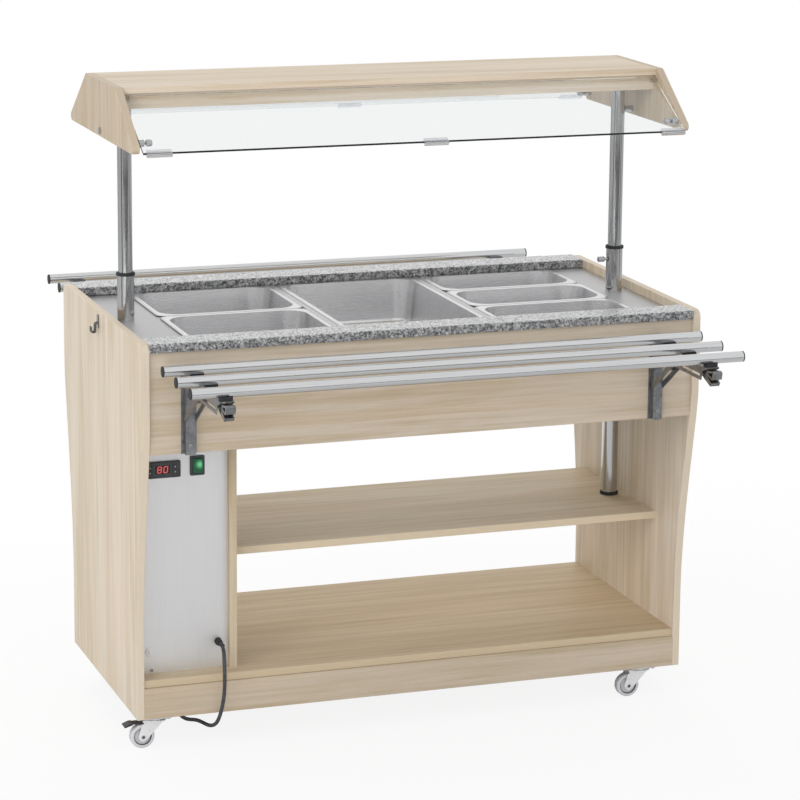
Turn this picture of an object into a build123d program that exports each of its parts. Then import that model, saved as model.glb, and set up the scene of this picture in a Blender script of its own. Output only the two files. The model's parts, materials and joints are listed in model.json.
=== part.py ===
from build123d import *
import os
from math import hypot, radians, sqrt, tan

os.makedirs("parts", exist_ok=True)

# Heated buffet cart with a height-adjustable glazed hood and two folding tray slides.
# Driving sizes in millimetres. X runs along the cart, -Y is the side with the controls,
# +Z is up, and the origin is on the floor under the middle of the cart.

# Wooden carcass
left_end_bay = 132.5
right_end_bay = 106.5
board = 16.0
panel_top = 875.0
panel_bottom = 70.0
foot_half_depth = 280.0
shoulder_drop = 175.0
knee_height = 240.0
shoulder_pull = 60.0
ankle_pull = 180.0
panel_corner = 18.0
edge_break = 0.8
apron_setback = 8.0
apron_height = 211.0
plinth_height = 66.0
floor_board_half_depth = 275.0
shelf_top = 391.0
shelf_front = 172.0
shelf_back = 235.0
compartment_width = 194.0
divider_front = 240.0
post_board_half_depth = 60.0

# Worktop, well and pans
granite_height = 19.0
granite_width = 71.0
granite_gap = 7.0
granite_round = 3.0
sheet = 1.5
sheet_fold = 25.0
well_corner = 28.0
well_depth = 206.0
well_bend = 10.0
well_flange = 10.0
pan_length = 530.0
pan_width = 325.0
pan_depth = 100.0
pan_rim = 11.5
pan_wall = 1.0
pan_lip = 2.3
pan_corner = 44.0
pan_rim_corner = 22.0
pan_bottom_bend = 14.0
pan_draft = 5.0
pan_gap = 0.6
bar_width = 10.9
bar_ledge = 8.5
bar_height = 2.5
bar_landing = 10.0
rim_landing = 8.5
element_tube = 8.4
element_height = 22.0
element_pitch = 120.0
element_bend = 52.0
element_reach = 430.0

# Posts and hood
post_inset = 54.5
sleeve_outer = 36.0
sleeve_wall = 1.5
sleeve_rise = 77.0
post_outer = 30.0
post_wall = 1.5
post_foot_gap = 259.0
ring_outer = 40.0
ring_height = 6.0
ring_spigot = 14.0
base_ring_height = 7.0
hood_top_height = 1364.0
hood_inset = 4.0
cheek_height = 117.5
cheek_top_half = 125.0
cheek_bottom_half = 286.0
cheek_corner = 10.0
hood_board = 14.0
rail_drop = 49.0
rail_setback = 15.0
glass = 5.0
glass_rail_gap = 9.0
glass_axis_drop = 21.0
glass_foot_inset = 1.0
glass_foot_drop = 114.0
glass_side_gap = 2.0
glass_back = 2.0
grip_length = 52.0
grip_reach = 8.0
grip_wall = 2.0
rest_diameter = 14.0
rest_length = 14.0
rest_distance = 145.0
pivot_diameter = 6.0
pivot_block = 14.0
bolt_drop = 105.0
bolt_head = 14.0
screw_drop = 24.0
screw_diameter = 6.0
screw_knob = 12.0
screw_knob_length = 14.0
screw_shank_gap = 6.5

# Tray slides
tube_outer = 22.0
tube_wall = 1.2
tube_inset = 26.0
tube_drop = 43.0
tube_reaches = (58.5, 160.0, 264.0)
cap_thickness = 2.5
cap_spigot = 12.0
bracket_inset = 98.0
rail_flange = 32.0
rail_flange_thickness = 2.0
rail_channel = 20.0
rail_channel_depth = 14.0
rail_wall = 1.5
rail_head = 5.0
ear_drop = 13.0
hinge_reach = 23.0
hinge_drop = 10.0
hinge_pin = 6.0
arm_width = 30.0
arm_wall = 1.5
arm_depth = 30.0
arm_heel = 8.0
arm_web_start = 10.0
arm_end_inset = 7.0
arm_nose = 9.0
strut_foot_reach = 9.0
strut_foot_drop = 89.0
strut_slot_drop = 20.0
strut_reach = 98.0
strut_pin = 5.0
strut_half_width = 6.0
strut_wall = 1.5
strut_web_start = 76.0
seat_width = 24.0
seat_depth = 18.0
seat_rise = 9.0
seat_gap = 6.0
lever_inset = 8.0
lever_drop = 15.0
lever_reach = 52.0
lever_width = 20.0
lever_pin = 4.0

# Castors
castor_left_inset = 46.0
castor_right_inset = 80.0
castor_setback = 35.0
castor_trail = 28.0
plate_length = 60.0
plate_width = 60.0
plate_thickness = 3.0
plate_hole = 5.6
plate_hole_margin = 14.0
race_diameter = 40.0
race_height = 6.0
kingpin = 10.0
crown_diameter = 48.0
crown_thickness = 2.7
wheel_diameter = 51.0
wheel_width = 20.0
wheel_round = 4.0
axle = 8.0
leg_thickness = 2.0
leg_gap = 1.3
pedal_x = -28.5
pedal_reach = 68.0
pedal_tail = 19.5
pedal_width = 16.0
pedal_tail_width = 24.0
pedal_pin = 4.0

# Control compartment
panel_recess = 13.0
panel_sheet = 1.5
panel_fold = 15.0
controller_inset = 54.5
controller_drop = 62.0
controller_width = 77.0
controller_height = 35.0
controller_proud = 5.0
controller_depth = 60.0
key_offset = 21.0
key_width = 11.0
key_height = 22.0
key_thickness = 2.4
key_proud = 0.6
switch_inset = 129.0
switch_drop = 58.5
switch_width = 31.0
switch_height = 42.0
switch_proud = 3.5
switch_depth = 32.0
rocker_width = 20.4
rocker_height = 33.0
rocker_axis_depth = 4.0
rocker_spindle = 3.0
rocker_spindle_reach = 1.5
stud_inset = 26.0
stud_rise = 46.0
stud_diameter = 20.0
gland_inset = 172.0
gland_rise = 56.0
gland_diameter = 17.0
gland_reach = 14.0
hook_y = 20.0
hook_drop = 23.0

# Mains lead
cord = 8.0
coil_shift = 14.0
coil_y = -15.0
coil_outer_radius = 58.5
coil_step = 5.1
coil_lift = 8.6
coil_half_turns_in = 5
coil_half_turns_out = 4
coil_lead_in = 8.0
coil_lead_out = 48.0
plug_boot = 22.0
plug_body = 40.0
plug_width = 34.0
plug_pin_length = 18.0

# Clearances
running_fit = 0.1
sliding_fit = 0.3
loose_fit = 0.3

# Sizes that follow from the ones above: worktop and well
pan_pitch = pan_width + bar_width + pan_gap
well_half_x = pan_pitch + pan_width / 2 - rim_landing
well_half_y = pan_length / 2 - rim_landing
well_centre = (left_end_bay - right_end_bay) / 2
cart_length = 2 * well_half_x + left_end_bay + right_end_bay
inner_half = cart_length / 2 - board
worktop_z = panel_top - granite_height
well_floor = worktop_z - well_depth
well_underside = well_floor - sheet

# Carcass
panel_half_depth = pan_length / 2 + granite_gap + granite_width
shoulder_height = panel_top - shoulder_drop
apron_bottom = worktop_z - apron_height
apron_face = panel_half_depth - apron_setback
apron_inner = apron_face - board
floor_board_bottom = panel_bottom + plinth_height
floor_board_top = floor_board_bottom + board
divider_centre = compartment_width + board / 2 - inner_half

# Posts and hood
post_x = cart_length / 2 - post_inset
post_radius = post_outer / 2
post_bottom = shelf_top + post_foot_gap
sleeve_radius = sleeve_outer / 2
sleeve_top = panel_top + sleeve_rise
screw_height = sleeve_top - screw_drop
hood_length = cart_length - 2 * hood_inset
hood_inner = hood_length / 2 - board
hood_underside = hood_top_height - hood_board
cheek_bottom = hood_top_height - cheek_height
rail_bottom = hood_top_height - rail_drop
rail_face = cheek_top_half - rail_setback
glass_axis_y = -rail_face - glass_rail_gap
glass_axis_z = hood_top_height - glass_axis_drop
glass_foot_y = glass_foot_inset - cheek_bottom_half
glass_foot_z = hood_top_height - glass_foot_drop
bolt_z = hood_top_height - bolt_drop

# Tray slides
tube_radius = tube_outer / 2
tube_z = panel_top - tube_drop
tube_rows = [panel_half_depth + reach for reach in tube_reaches]
tube_length = cart_length - 2 * tube_inset
bracket_x = cart_length / 2 - bracket_inset
arm_top = tube_z - tube_radius - seat_gap
rail_top = arm_top + rail_head
hinge_y = -apron_face - hinge_reach
hinge_z = arm_top - hinge_drop
ear_bottom = hinge_z - ear_drop
arm_root_y = hinge_y + arm_heel
arm_web_y = hinge_y - arm_web_start
arm_end_y = arm_end_inset - tube_rows[-1]
arm_nose_y = -tube_rows[-1] - arm_nose
strut_pivot_y = -apron_face - strut_foot_reach
strut_pivot_z = hinge_z - strut_foot_drop
strut_slot_z = arm_top - strut_slot_drop
lever_pivot_y = arm_end_y + lever_inset
lever_pivot_z = arm_top - lever_drop

# Control compartment and hook
panel_plane = panel_recess - divider_front
controller_x = controller_inset - inner_half
controller_z = well_underside - controller_drop
switch_x = switch_inset - inner_half
switch_z = well_underside - switch_drop
stud_x = stud_inset - inner_half
stud_z = floor_board_top + stud_rise
gland_x = gland_inset - inner_half
gland_z = floor_board_top + gland_rise
coil_x = gland_x + coil_shift
hook_z = panel_top - hook_drop

# Struts and castors
strut_length = hypot(strut_slot_z - strut_pivot_z, hinge_y - strut_reach - strut_pivot_y)
wheel_radius = wheel_diameter / 2
plate_bottom = panel_bottom - plate_thickness
race_bottom = plate_bottom - race_height
crown_top = race_bottom - loose_fit
crown_bottom = crown_top - crown_thickness
castor_left = castor_left_inset - cart_length / 2
castor_right = cart_length / 2 - castor_right_inset
castor_y = foot_half_depth - castor_setback
corners = {
    "front_left": (castor_left, -castor_y),
    "front_right": (castor_right, -castor_y),
    "rear_left": (castor_left, castor_y),
    "rear_right": (castor_right, castor_y),
}
trail_sides = {"front_left": -1, "front_right": -1, "rear_left": 1, "rear_right": -1}


def save(builder, name):
    """Label a finished piece and write it to its own file."""
    builder.part.label = name
    export_step(builder.part, f"parts/{name}.step")


def rear_twin(builder):
    """The same piece on the far side of the cart."""
    with BuildPart() as twin:
        mirror(builder.part, about=Plane.XZ)
    return twin


# Side panels: full depth above, drawn in to slim feet by a swept curve
with BuildPart() as side_panels:
    with BuildSketch(Plane.YZ.offset(inner_half)) as panel_outline:
        with BuildLine():
            crest = Line((0, panel_top), (panel_half_depth, panel_top))
            upper = Line(crest @ 1, (panel_half_depth, shoulder_height))
            waist = Bezier(
                upper @ 1,
                (panel_half_depth, shoulder_height - shoulder_pull),
                (foot_half_depth, knee_height + ankle_pull),
                (foot_half_depth, knee_height),
            )
            foot = Line(waist @ 1, (foot_half_depth, panel_bottom))
            Line(foot @ 1, (0, panel_bottom))
            mirror(about=Plane.YZ)
        make_face()
        fillet(panel_outline.vertices().group_by(Axis.Y)[-1].filter_by(lambda v: abs(v.X) > 1), panel_corner)
    extrude(amount=board)
    flats = side_panels.faces().filter_by(Axis.X)
    chamfer(flats.edges(), edge_break)
    mirror(about=Plane.YZ)
save(side_panels, "side_panels")

# Front and rear aprons that carry the stone edges
with BuildPart() as aprons:
    with BuildSketch(Plane.XY.offset(apron_bottom)):
        with Locations((0, -apron_face + board / 2)):
            Rectangle(2 * inner_half, board)
    extrude(amount=worktop_z - apron_bottom)
    chamfer(aprons.edges().filter_by(Axis.X), edge_break)
    mirror(about=Plane.XZ)
save(aprons, "aprons")

# Stone strips along both long edges of the worktop
with BuildPart() as granite_strips:
    with BuildSketch(Plane.XY.offset(worktop_z)):
        with Locations((0, -panel_half_depth + granite_width / 2)):
            Rectangle(2 * inner_half, granite_width)
    extrude(amount=granite_height)
    fillet(granite_strips.edges().filter_by(Axis.X), granite_round)
    mirror(about=Plane.XZ)
save(granite_strips, "granite_strips")

# Steel worktop sheet with the well opening, folded down inside the aprons
with BuildPart() as steel_worktop:
    with BuildSketch(Plane.XY.offset(worktop_z - sheet)):
        Rectangle(2 * inner_half, 2 * apron_inner)
        with Locations((well_centre, 0)):
            RectangleRounded(2 * well_half_x, 2 * well_half_y, well_corner, mode=Mode.SUBTRACT)
        with Locations((-post_x, 0), (post_x, 0)):
            Circle(sleeve_radius + loose_fit, mode=Mode.SUBTRACT)
    extrude(amount=sheet)
    with BuildSketch(Plane.XY.offset(worktop_z - sheet_fold)):
        with Locations((0, apron_inner - sheet / 2), (0, -apron_inner + sheet / 2)):
            Rectangle(2 * inner_half, sheet)
    extrude(amount=sheet_fold)
save(steel_worktop, "steel_worktop")

# Heated well under the opening
with BuildPart() as well_tank:
    with BuildSketch(Plane.XY.offset(well_underside)):
        with Locations((well_centre, 0)):
            RectangleRounded(
                2 * (well_half_x + sheet), 2 * (well_half_y + sheet), well_corner + sheet
            )
    extrude(amount=worktop_z - sheet - well_underside)
    fillet(well_tank.faces().sort_by(Axis.Z)[0].edges(), well_bend + sheet)
    offset(amount=-sheet, openings=well_tank.faces().sort_by(Axis.Z)[-1])
    with BuildSketch(Plane.XY.offset(worktop_z - 2 * sheet)):
        with Locations((well_centre, 0)):
            RectangleRounded(
                2 * (well_half_x + well_flange), 2 * (well_half_y + well_flange), well_corner + well_flange
            )
            RectangleRounded(2 * well_half_x, 2 * well_half_y, well_corner, mode=Mode.SUBTRACT)
    extrude(amount=sheet)
    with BuildSketch(Plane.YZ.offset(well_centre - well_half_x)):
        with Locations(*[(side * 1.5 * element_pitch, well_floor + element_height) for side in (-1, 1)]):
            Circle(element_tube / 2 + loose_fit)
    extrude(amount=-sheet, mode=Mode.SUBTRACT)
save(well_tank, "well_tank")

# Tubular heating element, four passes along the well, ends through the left wall
element_z = well_floor + element_height
element_left = well_centre - well_half_x
with BuildPart() as heating_element:
    passes = [(k - 1.5) * element_pitch for k in range(4)]
    far_right = well_centre + element_reach
    near_left = well_centre - element_reach
    route = [(element_left - 12, passes[0], element_z), (far_right, passes[0], element_z)]
    route += [(far_right, passes[1], element_z), (near_left, passes[1], element_z)]
    route += [(near_left, passes[2], element_z), (far_right, passes[2], element_z)]
    route += [(far_right, passes[3], element_z), (element_left - 12, passes[3], element_z)]
    with BuildLine() as element_path:
        FilletPolyline(*route, radius=element_bend)
    with BuildSketch(Plane(origin=route[0], z_dir=(1, 0, 0))):
        Circle(element_tube / 2)
    sweep(path=element_path.line)
    with BuildSketch(Plane.YZ.offset(element_left)):
        with Locations((passes[0], element_z), (passes[3], element_z)):
            RegularPolygon(10, 6)
    extrude(amount=6)
save(heating_element, "heating_element")

# Middle shelf, and the short board that carries the left post inside the compartment
divider_right = divider_centre + board / 2
divider_left = divider_centre - board / 2
with BuildPart() as middle_shelf:
    with BuildSketch(Plane.XY.offset(shelf_top - board)):
        with Locations(((divider_right + inner_half) / 2, (shelf_back - shelf_front) / 2)):
            Rectangle(inner_half - divider_right, shelf_back + shelf_front)
        with Locations(((divider_left - inner_half) / 2, 0)):
            Rectangle(inner_half + divider_left, 2 * post_board_half_depth)
    extrude(amount=board)
    chamfer(middle_shelf.edges().filter_by(Axis.X), edge_break)
save(middle_shelf, "middle_shelf")

# Bottom board
with BuildPart() as bottom_board:
    with BuildSketch(Plane.XY.offset(floor_board_bottom)):
        Rectangle(2 * inner_half, 2 * floor_board_half_depth)
    extrude(amount=board)
    chamfer(bottom_board.edges().filter_by(Axis.X), edge_break)
save(bottom_board, "bottom_board")

# Plinth boards, and an L of boards at each end that the castors are screwed to
bearer_width = inner_half - castor_right + plate_length / 2 + 10
plinth_inner = foot_half_depth - board
with BuildPart() as plinth_frame:
    with BuildSketch(Plane.XY.offset(panel_bottom)):
        with Locations((0, foot_half_depth - board / 2), (0, board / 2 - foot_half_depth)):
            Rectangle(2 * inner_half, board)
    extrude(amount=plinth_height)
    chamfer(plinth_frame.edges().filter_by(Axis.X), edge_break)
    for side in (-1, 1):
        with BuildSketch(Plane.XY.offset(panel_bottom)):
            with Locations((side * (inner_half - bearer_width / 2), 0)):
                Rectangle(bearer_width, 2 * plinth_inner)
        extrude(amount=board)
        with BuildSketch(Plane.XY.offset(panel_bottom + board)):
            with Locations((side * (inner_half - bearer_width + board / 2), 0)):
                Rectangle(board, 2 * plinth_inner)
        extrude(amount=plinth_height - board)
save(plinth_frame, "plinth_frame")

# Divider beside the shelves, and the back board of the control compartment
with BuildPart() as compartment_boards:
    with BuildSketch(Plane.XY.offset(floor_board_top)):
        with Locations((divider_centre, (floor_board_half_depth - divider_front) / 2)):
            Rectangle(board, floor_board_half_depth + divider_front)
    extrude(amount=well_underside - floor_board_top)
    with BuildSketch(Plane.XY.offset(floor_board_top)):
        with Locations(((divider_left - inner_half) / 2, floor_board_half_depth - board / 2)):
            Rectangle(inner_half + divider_left, board)
    extrude(amount=well_underside - floor_board_top)
save(compartment_boards, "compartment_boards")

# Steel front of the control compartment, folded back along three edges, with a bonding stud
panel_centre = (divider_left - inner_half) / 2
panel_width = inner_half + divider_left
panel_height = well_underside - floor_board_top
panel_mid = (well_underside + floor_board_top) / 2
body_width = controller_width - 6
body_height = controller_height - 6
switch_body_width = switch_width - 4
switch_body_height = switch_height - 5
with BuildPart() as control_panel:
    with BuildSketch(Plane.XZ.offset(-panel_plane)) as panel_face:
        with Locations((panel_centre, panel_mid)):
            Rectangle(panel_width, panel_height)
        with Locations((controller_x, controller_z)):
            Rectangle(body_width + 2 * loose_fit, body_height + 2 * loose_fit, mode=Mode.SUBTRACT)
        with Locations((switch_x, switch_z)):
            Rectangle(
                switch_body_width + 2 * loose_fit, switch_body_height + 2 * loose_fit, mode=Mode.SUBTRACT
            )
        with Locations((gland_x, gland_z)):
            Circle(gland_diameter / 2 - 2 + loose_fit, mode=Mode.SUBTRACT)
    extrude(amount=-panel_sheet)
    with BuildSketch(Plane.XZ.offset(-panel_plane - panel_fold)):
        with Locations((panel_centre, floor_board_top + panel_sheet / 2)):
            Rectangle(panel_width, panel_sheet)
        with Locations(
            (panel_centre - panel_width / 2 + panel_sheet / 2, panel_mid),
            (panel_centre + panel_width / 2 - panel_sheet / 2, panel_mid),
        ):
            Rectangle(panel_sheet, panel_height)
    extrude(amount=panel_fold)
    with BuildSketch(Plane.XZ.offset(-panel_plane)):
        with Locations((stud_x, stud_z)):
            Circle(stud_diameter / 2)
    extrude(amount=3)
    chamfer(control_panel.faces().sort_by(Axis.Y)[0].edges(), edge_break)
    with BuildSketch(Plane.XZ.offset(-panel_plane + 3)):
        with Locations((stud_x, stud_z)):
            RegularPolygon(5.5, 6)
    extrude(amount=3)
    with BuildSketch(Plane.XZ.offset(-panel_plane + 6)):
        with Locations((stud_x, stud_z)):
            Circle(2.8)
    extrude(amount=4)
save(control_panel, "control_panel")

# Thermostat housing and rocker switch frame, both pushed in from the front
rocker_y = panel_plane - switch_proud + rocker_axis_depth
with BuildPart() as panel_bezels:
    with BuildSketch(Plane.XZ.offset(-panel_plane)):
        with Locations((controller_x, controller_z)):
            RectangleRounded(controller_width, controller_height, 3)
        with Locations((switch_x, switch_z)):
            RectangleRounded(switch_width, switch_height, 3)
    extrude(amount=switch_proud)
    with BuildSketch(Plane.XZ.offset(-panel_plane + switch_proud)):
        with Locations((controller_x, controller_z)):
            RectangleRounded(controller_width, controller_height, 3)
    extrude(amount=controller_proud - switch_proud)
    chamfer(panel_bezels.faces().filter_by(Axis.Y).sort_by(Axis.Y)[0].edges(), 1.2)
    switch_front = panel_bezels.faces().filter_by(Axis.Y).filter_by_position(
        Axis.Y, panel_plane - switch_proud - 0.01, panel_plane - switch_proud + 0.01
    )
    chamfer(switch_front.edges(), 1.0)
    with BuildSketch(Plane.XZ.offset(-panel_plane)):
        with Locations((controller_x, controller_z)):
            Rectangle(body_width, body_height)
    extrude(amount=-controller_depth)
    with BuildSketch(Plane.XZ.offset(-panel_plane)):
        with Locations((switch_x, switch_z)):
            Rectangle(switch_body_width, switch_body_height)
    extrude(amount=-switch_depth)
    with BuildSketch(Plane.XZ.offset(-panel_plane + switch_proud)):
        with Locations((switch_x, switch_z)):
            RectangleRounded(rocker_width + 2 * loose_fit, rocker_height + 2 * loose_fit, 1.5)
    extrude(amount=-switch_proud - 12, mode=Mode.SUBTRACT)
    spindle_hole_reach = rocker_width / 2 + rocker_spindle_reach + loose_fit
    with BuildSketch(Plane.YZ.offset(switch_x - spindle_hole_reach)):
        with Locations((rocker_y, switch_z)):
            Circle(rocker_spindle / 2 + running_fit)
    extrude(amount=2 * spindle_hole_reach, mode=Mode.SUBTRACT)
    with BuildSketch(Plane.XZ.offset(-panel_plane + controller_proud)):
        with Locations(
            (controller_x - key_offset - key_width / 2, controller_z),
            (controller_x + key_offset + key_width / 2, controller_z),
        ):
            RectangleRounded(key_width + 2 * loose_fit, key_height + 2 * loose_fit, 1.5)
    extrude(amount=-key_thickness - 1, mode=Mode.SUBTRACT)
    with BuildSketch(Plane.XZ.offset(-panel_plane + controller_proud)):
        with Locations((controller_x, controller_z + 0.5)):
            RectangleRounded(32, 17, 1)
    extrude(amount=-0.8, mode=Mode.SUBTRACT)
save(panel_bezels, "panel_bezels")


def key_pad(centre_x):
    """One two-mark key pad, proud of the thermostat's front by a little."""
    with BuildPart() as pad:
        with BuildSketch(Plane.XZ.offset(-panel_plane + controller_proud + key_proud)):
            with Locations((centre_x, controller_z)):
                RectangleRounded(key_width, key_height, 1.2)
        extrude(amount=-key_thickness)
        chamfer(pad.faces().sort_by(Axis.Y)[0].edges(), 0.3)
    return pad


save(key_pad(controller_x - key_offset - key_width / 2), "key_pad_left")
save(key_pad(controller_x + key_offset + key_width / 2), "key_pad_right")

# Rocker: two flats meeting in a shallow valley, on a short spindle
with BuildPart() as rocker:
    with BuildSketch(Plane.YZ.offset(switch_x - rocker_width / 2)):
        with BuildLine():
            Polyline(
                (rocker_y + 4.0, switch_z - 9),
                (rocker_y - 2.0, switch_z - rocker_height / 2 + 1),
                (rocker_y - 7.5, switch_z - rocker_height / 2 + 1.5),
                (rocker_y - 5.4, switch_z),
                (rocker_y - 4.6, switch_z + rocker_height / 2 - 1.5),
                (rocker_y + 1.0, switch_z + rocker_height / 2 - 1),
                (rocker_y + 4.0, switch_z + 9),
                close=True,
            )
        make_face()
    extrude(amount=rocker_width)
    chamfer(rocker.faces().filter_by(Axis.X).edges(), 0.4)
    with BuildSketch(Plane.YZ.offset(switch_x - rocker_width / 2 - rocker_spindle_reach)):
        with Locations((rocker_y, switch_z)):
            Circle(rocker_spindle / 2)
    extrude(amount=rocker_width + 2 * rocker_spindle_reach)
save(rocker, "rocker")

# Cable gland through the steel front
with BuildPart() as cord_gland:
    with BuildSketch(Plane.XZ.offset(-panel_plane)):
        with Locations((gland_x, gland_z)):
            RegularPolygon(gland_diameter / 2, 6)
    extrude(amount=5)
    with BuildSketch(Plane.XZ.offset(-panel_plane + 5)):
        with Locations((gland_x, gland_z)):
            Circle(gland_diameter / 2 - 1.5)
    with BuildSketch(Plane.XZ.offset(-panel_plane + gland_reach)):
        with Locations((gland_x, gland_z)):
            Circle(cord / 2 + 1.5)
    loft()
    with BuildSketch(Plane.XZ.offset(-panel_plane)):
        with Locations((gland_x, gland_z)):
            Circle(gland_diameter / 2 - 2)
    extrude(amount=-panel_sheet - 5)
    with BuildSketch(Plane.XZ.offset(-panel_plane - panel_sheet)):
        with Locations((gland_x, gland_z)):
            RegularPolygon(gland_diameter / 2, 6)
    extrude(amount=-4)
save(cord_gland, "cord_gland")

# Double hook on the left side panel
with BuildPart() as side_hook:
    with BuildSketch(Plane.YZ.offset(-cart_length / 2)):
        with Locations((hook_y, hook_z)):
            SlotOverall(30, 14, rotation=90)
    extrude(amount=-2)
    for prong in (-5, 5):
        prong_y = hook_y + prong
        start_x = -cart_length / 2 - 2
        with BuildLine() as prong_path:
            FilletPolyline(
                (start_x, prong_y, hook_z - 2),
                (start_x - 5, prong_y, hook_z - 4),
                (start_x - 5.5, prong_y, hook_z - 22),
                (start_x - 14, prong_y, hook_z - 22),
                (start_x - 14.5, prong_y, hook_z - 10),
                radius=2.5,
            )
        with BuildSketch(Plane(origin=prong_path.line @ 0, z_dir=prong_path.line % 0)):
            Circle(1.8)
        sweep(path=prong_path.line)
save(side_hook, "side_hook")

# Outer post tubes, from the shelf boards up through the worktop
with BuildPart() as post_sleeves:
    with BuildSketch(Plane.XY.offset(shelf_top)):
        with Locations((-post_x, 0), (post_x, 0)):
            Circle(sleeve_radius)
            Circle(sleeve_radius - sleeve_wall, mode=Mode.SUBTRACT)
    extrude(amount=sleeve_top - shelf_top)
    with BuildSketch(Plane.YZ.offset(post_x)):
        with Locations((0, screw_height)):
            Circle(screw_diameter / 2 + running_fit)
    extrude(amount=-sleeve_radius - 1, mode=Mode.SUBTRACT)
save(post_sleeves, "post_sleeves")

# Plastic guide rings at the sleeve tops and black collars at their feet
with BuildPart() as sleeve_rings:
    for side in (-1, 1):
        with BuildSketch(Plane.XY.offset(sleeve_top)):
            with Locations((side * post_x, 0)):
                Circle(ring_outer / 2)
        extrude(amount=ring_height)
        with BuildSketch(Plane.XY.offset(sleeve_top - ring_spigot)):
            with Locations((side * post_x, 0)):
                Circle(sleeve_radius - sleeve_wall - running_fit)
        extrude(amount=ring_spigot)
        with BuildSketch(Plane.XY.offset(sleeve_top - ring_spigot)):
            with Locations((side * post_x, 0)):
                Circle(post_radius + sliding_fit)
        extrude(amount=ring_spigot + ring_height, mode=Mode.SUBTRACT)
        with BuildSketch(Plane.XY.offset(shelf_top)):
            with Locations((side * post_x, 0)):
                Circle(ring_outer / 2)
                Circle(sleeve_radius + running_fit, mode=Mode.SUBTRACT)
        extrude(amount=base_ring_height)
    tops = sleeve_rings.faces().filter_by(Axis.Z).filter_by_position(
        Axis.Z, sleeve_top + ring_height - 0.01, sleeve_top + ring_height + 0.01
    )
    chamfer(tops.edges(), 0.6)
    with BuildSketch(Plane.YZ.offset(post_x)):
        with Locations((0, screw_height)):
            Circle(screw_diameter / 2 + 1)
    extrude(amount=-sleeve_radius, mode=Mode.SUBTRACT)
save(sleeve_rings, "sleeve_rings")

# Wall rails of the folding tray brackets: a hat section with two pivot ears at the top
rail_face_y = -apron_face - rail_channel_depth - rail_flange_thickness
ear_reach = hinge_pin
with BuildPart() as bracket_rails:
    for side in (-1, 1):
        with BuildSketch(Plane.XY.offset(apron_bottom)):
            with Locations((side * bracket_x, -apron_face - rail_flange_thickness / 2)):
                Rectangle(rail_flange, rail_flange_thickness)
            with Locations((side * bracket_x, (rail_face_y - apron_face) / 2)):
                Rectangle(rail_channel, -rail_face_y - apron_face)
            with Locations((side * bracket_x, (rail_face_y + rail_wall - apron_face) / 2)):
                Rectangle(
                    rail_channel - 2 * rail_wall, -rail_face_y - rail_wall - apron_face, mode=Mode.SUBTRACT
                )
        extrude(amount=rail_top - apron_bottom)
        for ear in (-1, 1):
            ear_x = side * bracket_x + ear * (rail_channel - rail_wall) / 2
            with BuildSketch(Plane.YZ.offset(ear_x - rail_wall / 2)):
                with BuildLine():
                    Polyline(
                        (rail_face_y + 1, rail_top),
                        (rail_face_y + 1, ear_bottom),
                        (hinge_y - 1, hinge_z - ear_reach),
                        (hinge_y - ear_reach, hinge_z - 1),
                        (hinge_y - ear_reach, hinge_z + 3),
                        (hinge_y, rail_top),
                        close=True,
                    )
                make_face()
            extrude(amount=rail_wall)
    with BuildSketch(Plane.YZ.offset(-inner_half)):
        with Locations((hinge_y, hinge_z)):
            Circle(hinge_pin / 2 + running_fit)
        with Locations((strut_pivot_y, strut_pivot_z)):
            Circle(strut_pin / 2 + running_fit)
    extrude(amount=2 * inner_half, mode=Mode.SUBTRACT)
    mirror(about=Plane.XZ)
save(bracket_rails, "bracket_rails")

# Castor plates with raceway and kingpin, screwed under the plinth frame
castor_grid = list(corners.values())
with BuildPart() as castor_plates:
    with BuildSketch(Plane.XY.offset(plate_bottom)):
        with Locations(*castor_grid):
            RectangleRounded(plate_length, plate_width, 7)
            with GridLocations(plate_length - plate_hole_margin, plate_width - plate_hole_margin, 2, 2):
                Circle(plate_hole / 2, mode=Mode.SUBTRACT)
    extrude(amount=plate_thickness)
    with BuildSketch(Plane.XY.offset(race_bottom)):
        with Locations(*castor_grid):
            Circle(race_diameter / 2)
    extrude(amount=race_height)
    with BuildSketch(Plane.XY.offset(crown_bottom - loose_fit)):
        with Locations(*castor_grid):
            Circle(kingpin / 2)
    extrude(amount=race_bottom - crown_bottom + loose_fit)
    with BuildSketch(Plane.XY.offset(crown_bottom - loose_fit)):
        with Locations(*castor_grid):
            Circle(kingpin / 2 + 3)
    extrude(amount=-2)
save(castor_plates, "castor_plates")

axle_z = wheel_radius
leg_inner = wheel_width / 2 + leg_gap
leg_outer = leg_inner + leg_thickness
pedal_z = crown_bottom - 3.0


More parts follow.
